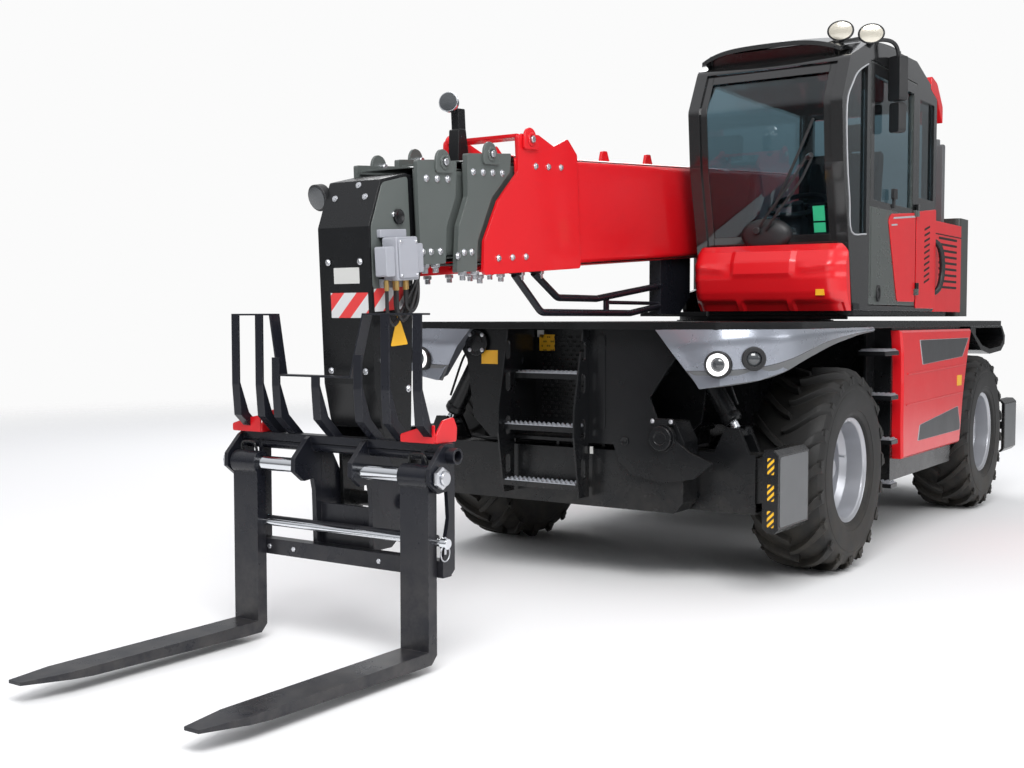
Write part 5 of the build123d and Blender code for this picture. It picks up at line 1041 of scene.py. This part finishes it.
addPiece("front_labels", slabs(ends["yellow"], "y"), yellowLabel, "chassis", "silver_panel")
addPiece("front_white_labels", slabs(ends["white"], "y"), whiteLabel, "chassis", "silver_panel")

# Stabilizers, made for the front left corner: gland, port and pipe on the barrel from its pin down along its
# axis, hoses under the arm with clips, and the boxed front of the foot with its striped slots
stabilizer = {
    "pin": (0.61, 1.345), "eye": (0.905, 0.85), "plane": {1: -2.385, -1: -2.575}, "middle": 0.085,
    "gland": [(0.462, 0.0525), (0.462, 0.058), (0.47, 0.0605), (0.497, 0.0605), (0.502, 0.055), (0.512, 0.05),
              (0.512, 0.0275), (0.508, 0.0275), (0.5, 0.0525)],
    "hose": [(-0.30, 0.775), (-0.05, 0.762), (0.30, 0.757), (0.60, 0.757), (0.72, 0.775)],
    "clips": (-0.2, 0.1, 0.4),
    "front": [(1.172, 0.40), (1.172, 0.775), (1.188, 0.794), (1.232, 0.796), (1.2575, 0.77), (1.2575, 0.40),
              (1.232, 0.374), (1.20, 0.374)],
    "stripes": [(1.200, 1.236, z, z + 0.085, -2.6075, -2.6058, 0.008) for z in (0.405, 0.54, 0.675)],
    "face": [(-2.585, -2.205, 0.405, 0.765, 1.2582, 1.2605, 0.02)],
}
pinX, pinZ = stabilizer["pin"]
axis = unit([stabilizer["eye"][0] - pinX, 0, stabilizer["eye"][1] - pinZ])
footFront = plate(stabilizer["front"], -2.606, -2.6002, "y", 0.006)
for name, (sx, sy) in corners.items():
    midY = stabilizer["plane"][sx] + stabilizer["middle"]
    pin = np.array([pinX, midY, pinZ])
    port = pin + axis * 0.14
    gland = ringShape(stabilizer["gland"], pin, axis, 32)
    bend, foot = pin + axis * 0.2 + [0.09, 0, 0.056], pin + axis * 0.44 + [0.062, 0, 0.037]
    pipe = tube([port + [0.07, 0, 0.047], bend, foot], 0.007, 8)
    stub = rod(port + [0.045, 0, 0.03], port + [0.075, 0, 0.05], 0.014, 6)
    hoses = [tube([(x, midY + dy, z) for x, z in stabilizer["hose"]], 0.0095, 8) for dy in (-0.012, 0.012)]
    clips = slabs([(midY - 0.028, midY + 0.028, 0.7455, 0.772, x, x + 0.02) for x in stabilizer["clips"]])
    for label, part, material, body, slot in (
        ("_gland", merge(gland, stub, pipe), blackPaint, "barrel", "black_steel"),
        ("_arm_hoses", merge(*hoses), hoseRubber, "arm", "tyre_rubber"),
        ("_arm_clips", clips, blackPaint, "arm", "black_steel"),
        ("_foot_front", footFront, blackPaint, "foot", "black_steel"),
        ("_foot_stripes", slabs(stabilizer["stripes"], "y"), footBands, "foot", "silver_panel"),
        ("_foot_face", slabs(stabilizer["face"]), greyPlastic, "foot", "graphite_steel"),
    ):
        addPiece(name + label, placed(part, (sx, -sy, 1)), material, name + "_stabilizer_" + body, slot)
print("chassis ends ready")

# Left cover, outlines in (y, z): dark inserts with a light outline, bevel lines and a blank label. The same on
# the right cover, without the label
cover = {
    "inserts": [[(-0.235, 1.325), (-0.165, 1.165), (0.80, 1.195), (0.955, 1.325)],
                [(-0.25, 0.665), (-0.21, 0.765), (0.70, 0.835), (0.765, 0.70), (0.755, 0.665)]],
    "crest": [(-0.50, 1.12), (0.88, 1.14), (0.875, 1.128), (-0.50, 1.105)],
    "ridge": [(-0.52, 0.92), (0.845, 0.94), (0.84, 0.93), (-0.52, 0.908)],
    "skin": 1.2702, "outline": 1.03,
}


# An outline made larger or smaller about the mean of its points
def grown(points, factor):
    p = np.asarray(points, float)
    return p.mean(0) + (p - p.mean(0)) * factor


wider = [grown(points, cover["outline"]) for points in cover["inserts"]]
outlines = merge(*[plate(p, cover["skin"], 1.2715, "x", 0.01) for p in wider])
inserts = merge(*[plate(p, cover["skin"], 1.2732, "x", 0.01) for p in cover["inserts"]])
ridges = merge(plate(cover["crest"], cover["skin"], 1.2745, "x", 0.003),
               plate(cover["ridge"], cover["skin"], 1.2735, "x", 0.003))
for side, body, factors in (("_left", "chassis", (1, 1, 1)), ("_right", "engine_cover", toRight)):
    addPiece("cover_outline" + side, placed(outlines, factors), outlineGrey, body, "silver_panel")
    addPiece("cover_inserts" + side, placed(inserts, factors), wedgeGrey, body, "graphite_steel")
    addPiece("cover_ridges" + side, placed(ridges, factors), redPaint, body, "red_panel", bevel=0.002)
coverLabel = slabs([(0.68, 0.80, 0.985, 1.06, cover["skin"], 1.2718)])
addPiece("cover_label", coverLabel, yellowLabel, "chassis", "silver_panel")
print("covers ready")


# Studio: a pale floor that fades out into a white surround, with soft panels of light above and beside
studio = {"floorTone": 0.95, "fade": (9.0, 17.0), "skyLight": 0.68, "backdrop": 0.965,
          "sky": [(0.44, (0.45, 0.45, 0.45, 1)), (0.85, (1.15, 1.16, 1.2, 1)), (0.5, (0.3, 0.306, 0.315, 1)),
                  (0.56, (0.34, 0.3468, 0.357, 1)), (0.66, (0.85, 0.867, 0.8925, 1))],
          "panels": {"key": ((4.5, -7.0, 7.5), 6.0, 700), "side": ((10.0, 1.0, 4.0), 5.0, 150),
                     "back": ((-5.0, 7.0, 7.0), 6.0, 300)}}


# The floor's alpha falls smoothly from 1 to 0 between two distances from the middle
def makeFloor():
    floor = bpy.data.meshes.new("floor")
    floor.from_pydata([(-40, -40, 0), (40, -40, 0), (40, 40, 0), (-40, 40, 0)], [], [(0, 1, 2, 3)])
    floorObj = bpy.data.objects.new("floor", floor)
    bpy.context.scene.collection.objects.link(floorObj)
    mat = plain("floorSheet", (studio["floorTone"],) * 3, 0.9, specular=0.1)
    new, link = mat.node_tree.nodes.new, mat.node_tree.links.new
    coords, length, fade = [new("ShaderNode" + kind) for kind in ("TexCoord", "VectorMath", "MapRange")]
    length.operation = "LENGTH"
    fade.interpolation_type = "SMOOTHSTEP"
    for label, value in zip(("From Min", "From Max", "To Min", "To Max"), (*studio["fade"], 1, 0)):
        fade.inputs[label].default_value = value
    link(coords.outputs["Object"], length.inputs[0])
    link(length.outputs["Value"], fade.inputs["Value"])
    link(fade.outputs["Result"], mat.node_tree.nodes["Principled BSDF"].inputs["Alpha"])
    floor.materials.append(mat)
    return floorObj


# The world lights by a ramp over height, darker near the horizon, and shows white to the camera
def makeSurround():
    world = bpy.data.worlds.new("studio")
    bpy.context.scene.world = world
    world.use_nodes = True
    new, link = world.node_tree.nodes.new, world.node_tree.links.new
    light, white = world.node_tree.nodes["Background"], new("ShaderNodeBackground")
    kinds = ("MixShader", "LightPath", "TexCoord", "SeparateXYZ", "ValToRGB", "MapRange")
    mix, path, where, split, ramp, half = [new("ShaderNode" + kind) for kind in kinds]
    tones = ramp.color_ramp.elements
    for element, (position, colour) in zip(tones, studio["sky"]):
        element.position, element.color = position, colour
    for position, colour in studio["sky"][2:]:
        tones.new(position).color = colour
    half.inputs["From Min"].default_value = -1
    link(where.outputs["Generated"], split.inputs[0])
    link(split.outputs["Z"], half.inputs["Value"])
    link(half.outputs["Result"], ramp.inputs[0])
    link(ramp.outputs["Color"], light.inputs["Color"])
    light.inputs["Strength"].default_value = studio["skyLight"]
    white.inputs["Color"].default_value = (studio["backdrop"],) * 3 + (1,)
    link(path.outputs["Is Camera Ray"], mix.inputs[0])
    link(light.outputs[0], mix.inputs[1])
    link(white.outputs[0], mix.inputs[2])
    link(mix.outputs[0], world.node_tree.nodes["World Output"].inputs["Surface"])


# A rectangular panel of light that looks at a point 1.2 m above the middle
def makePanel(name, place, size, power):
    lamp = bpy.data.lights.new(name, "AREA")
    lamp.shape, lamp.size, lamp.size_y, lamp.energy = "RECTANGLE", size, size * 0.6, power
    obj = bpy.data.objects.new(name, lamp)
    obj.location = place
    aim = np.array([0, 0, 1.2]) - np.array(place)
    obj.rotation_euler = (math.atan2(np.hypot(aim[0], aim[1]), -aim[2]), 0, math.atan2(-aim[0], aim[1]))
    bpy.context.scene.collection.objects.link(obj)
    return obj


floorObj = makeFloor()
makeSurround()
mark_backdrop(floorObj, *[makePanel(name, *values) for name, values in studio["panels"].items()])
low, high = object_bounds()
{"cad": [cadLow.tolist(), cadHigh.tolist()], "scene": [list(low), list(high)]}
print("studio and size ready")
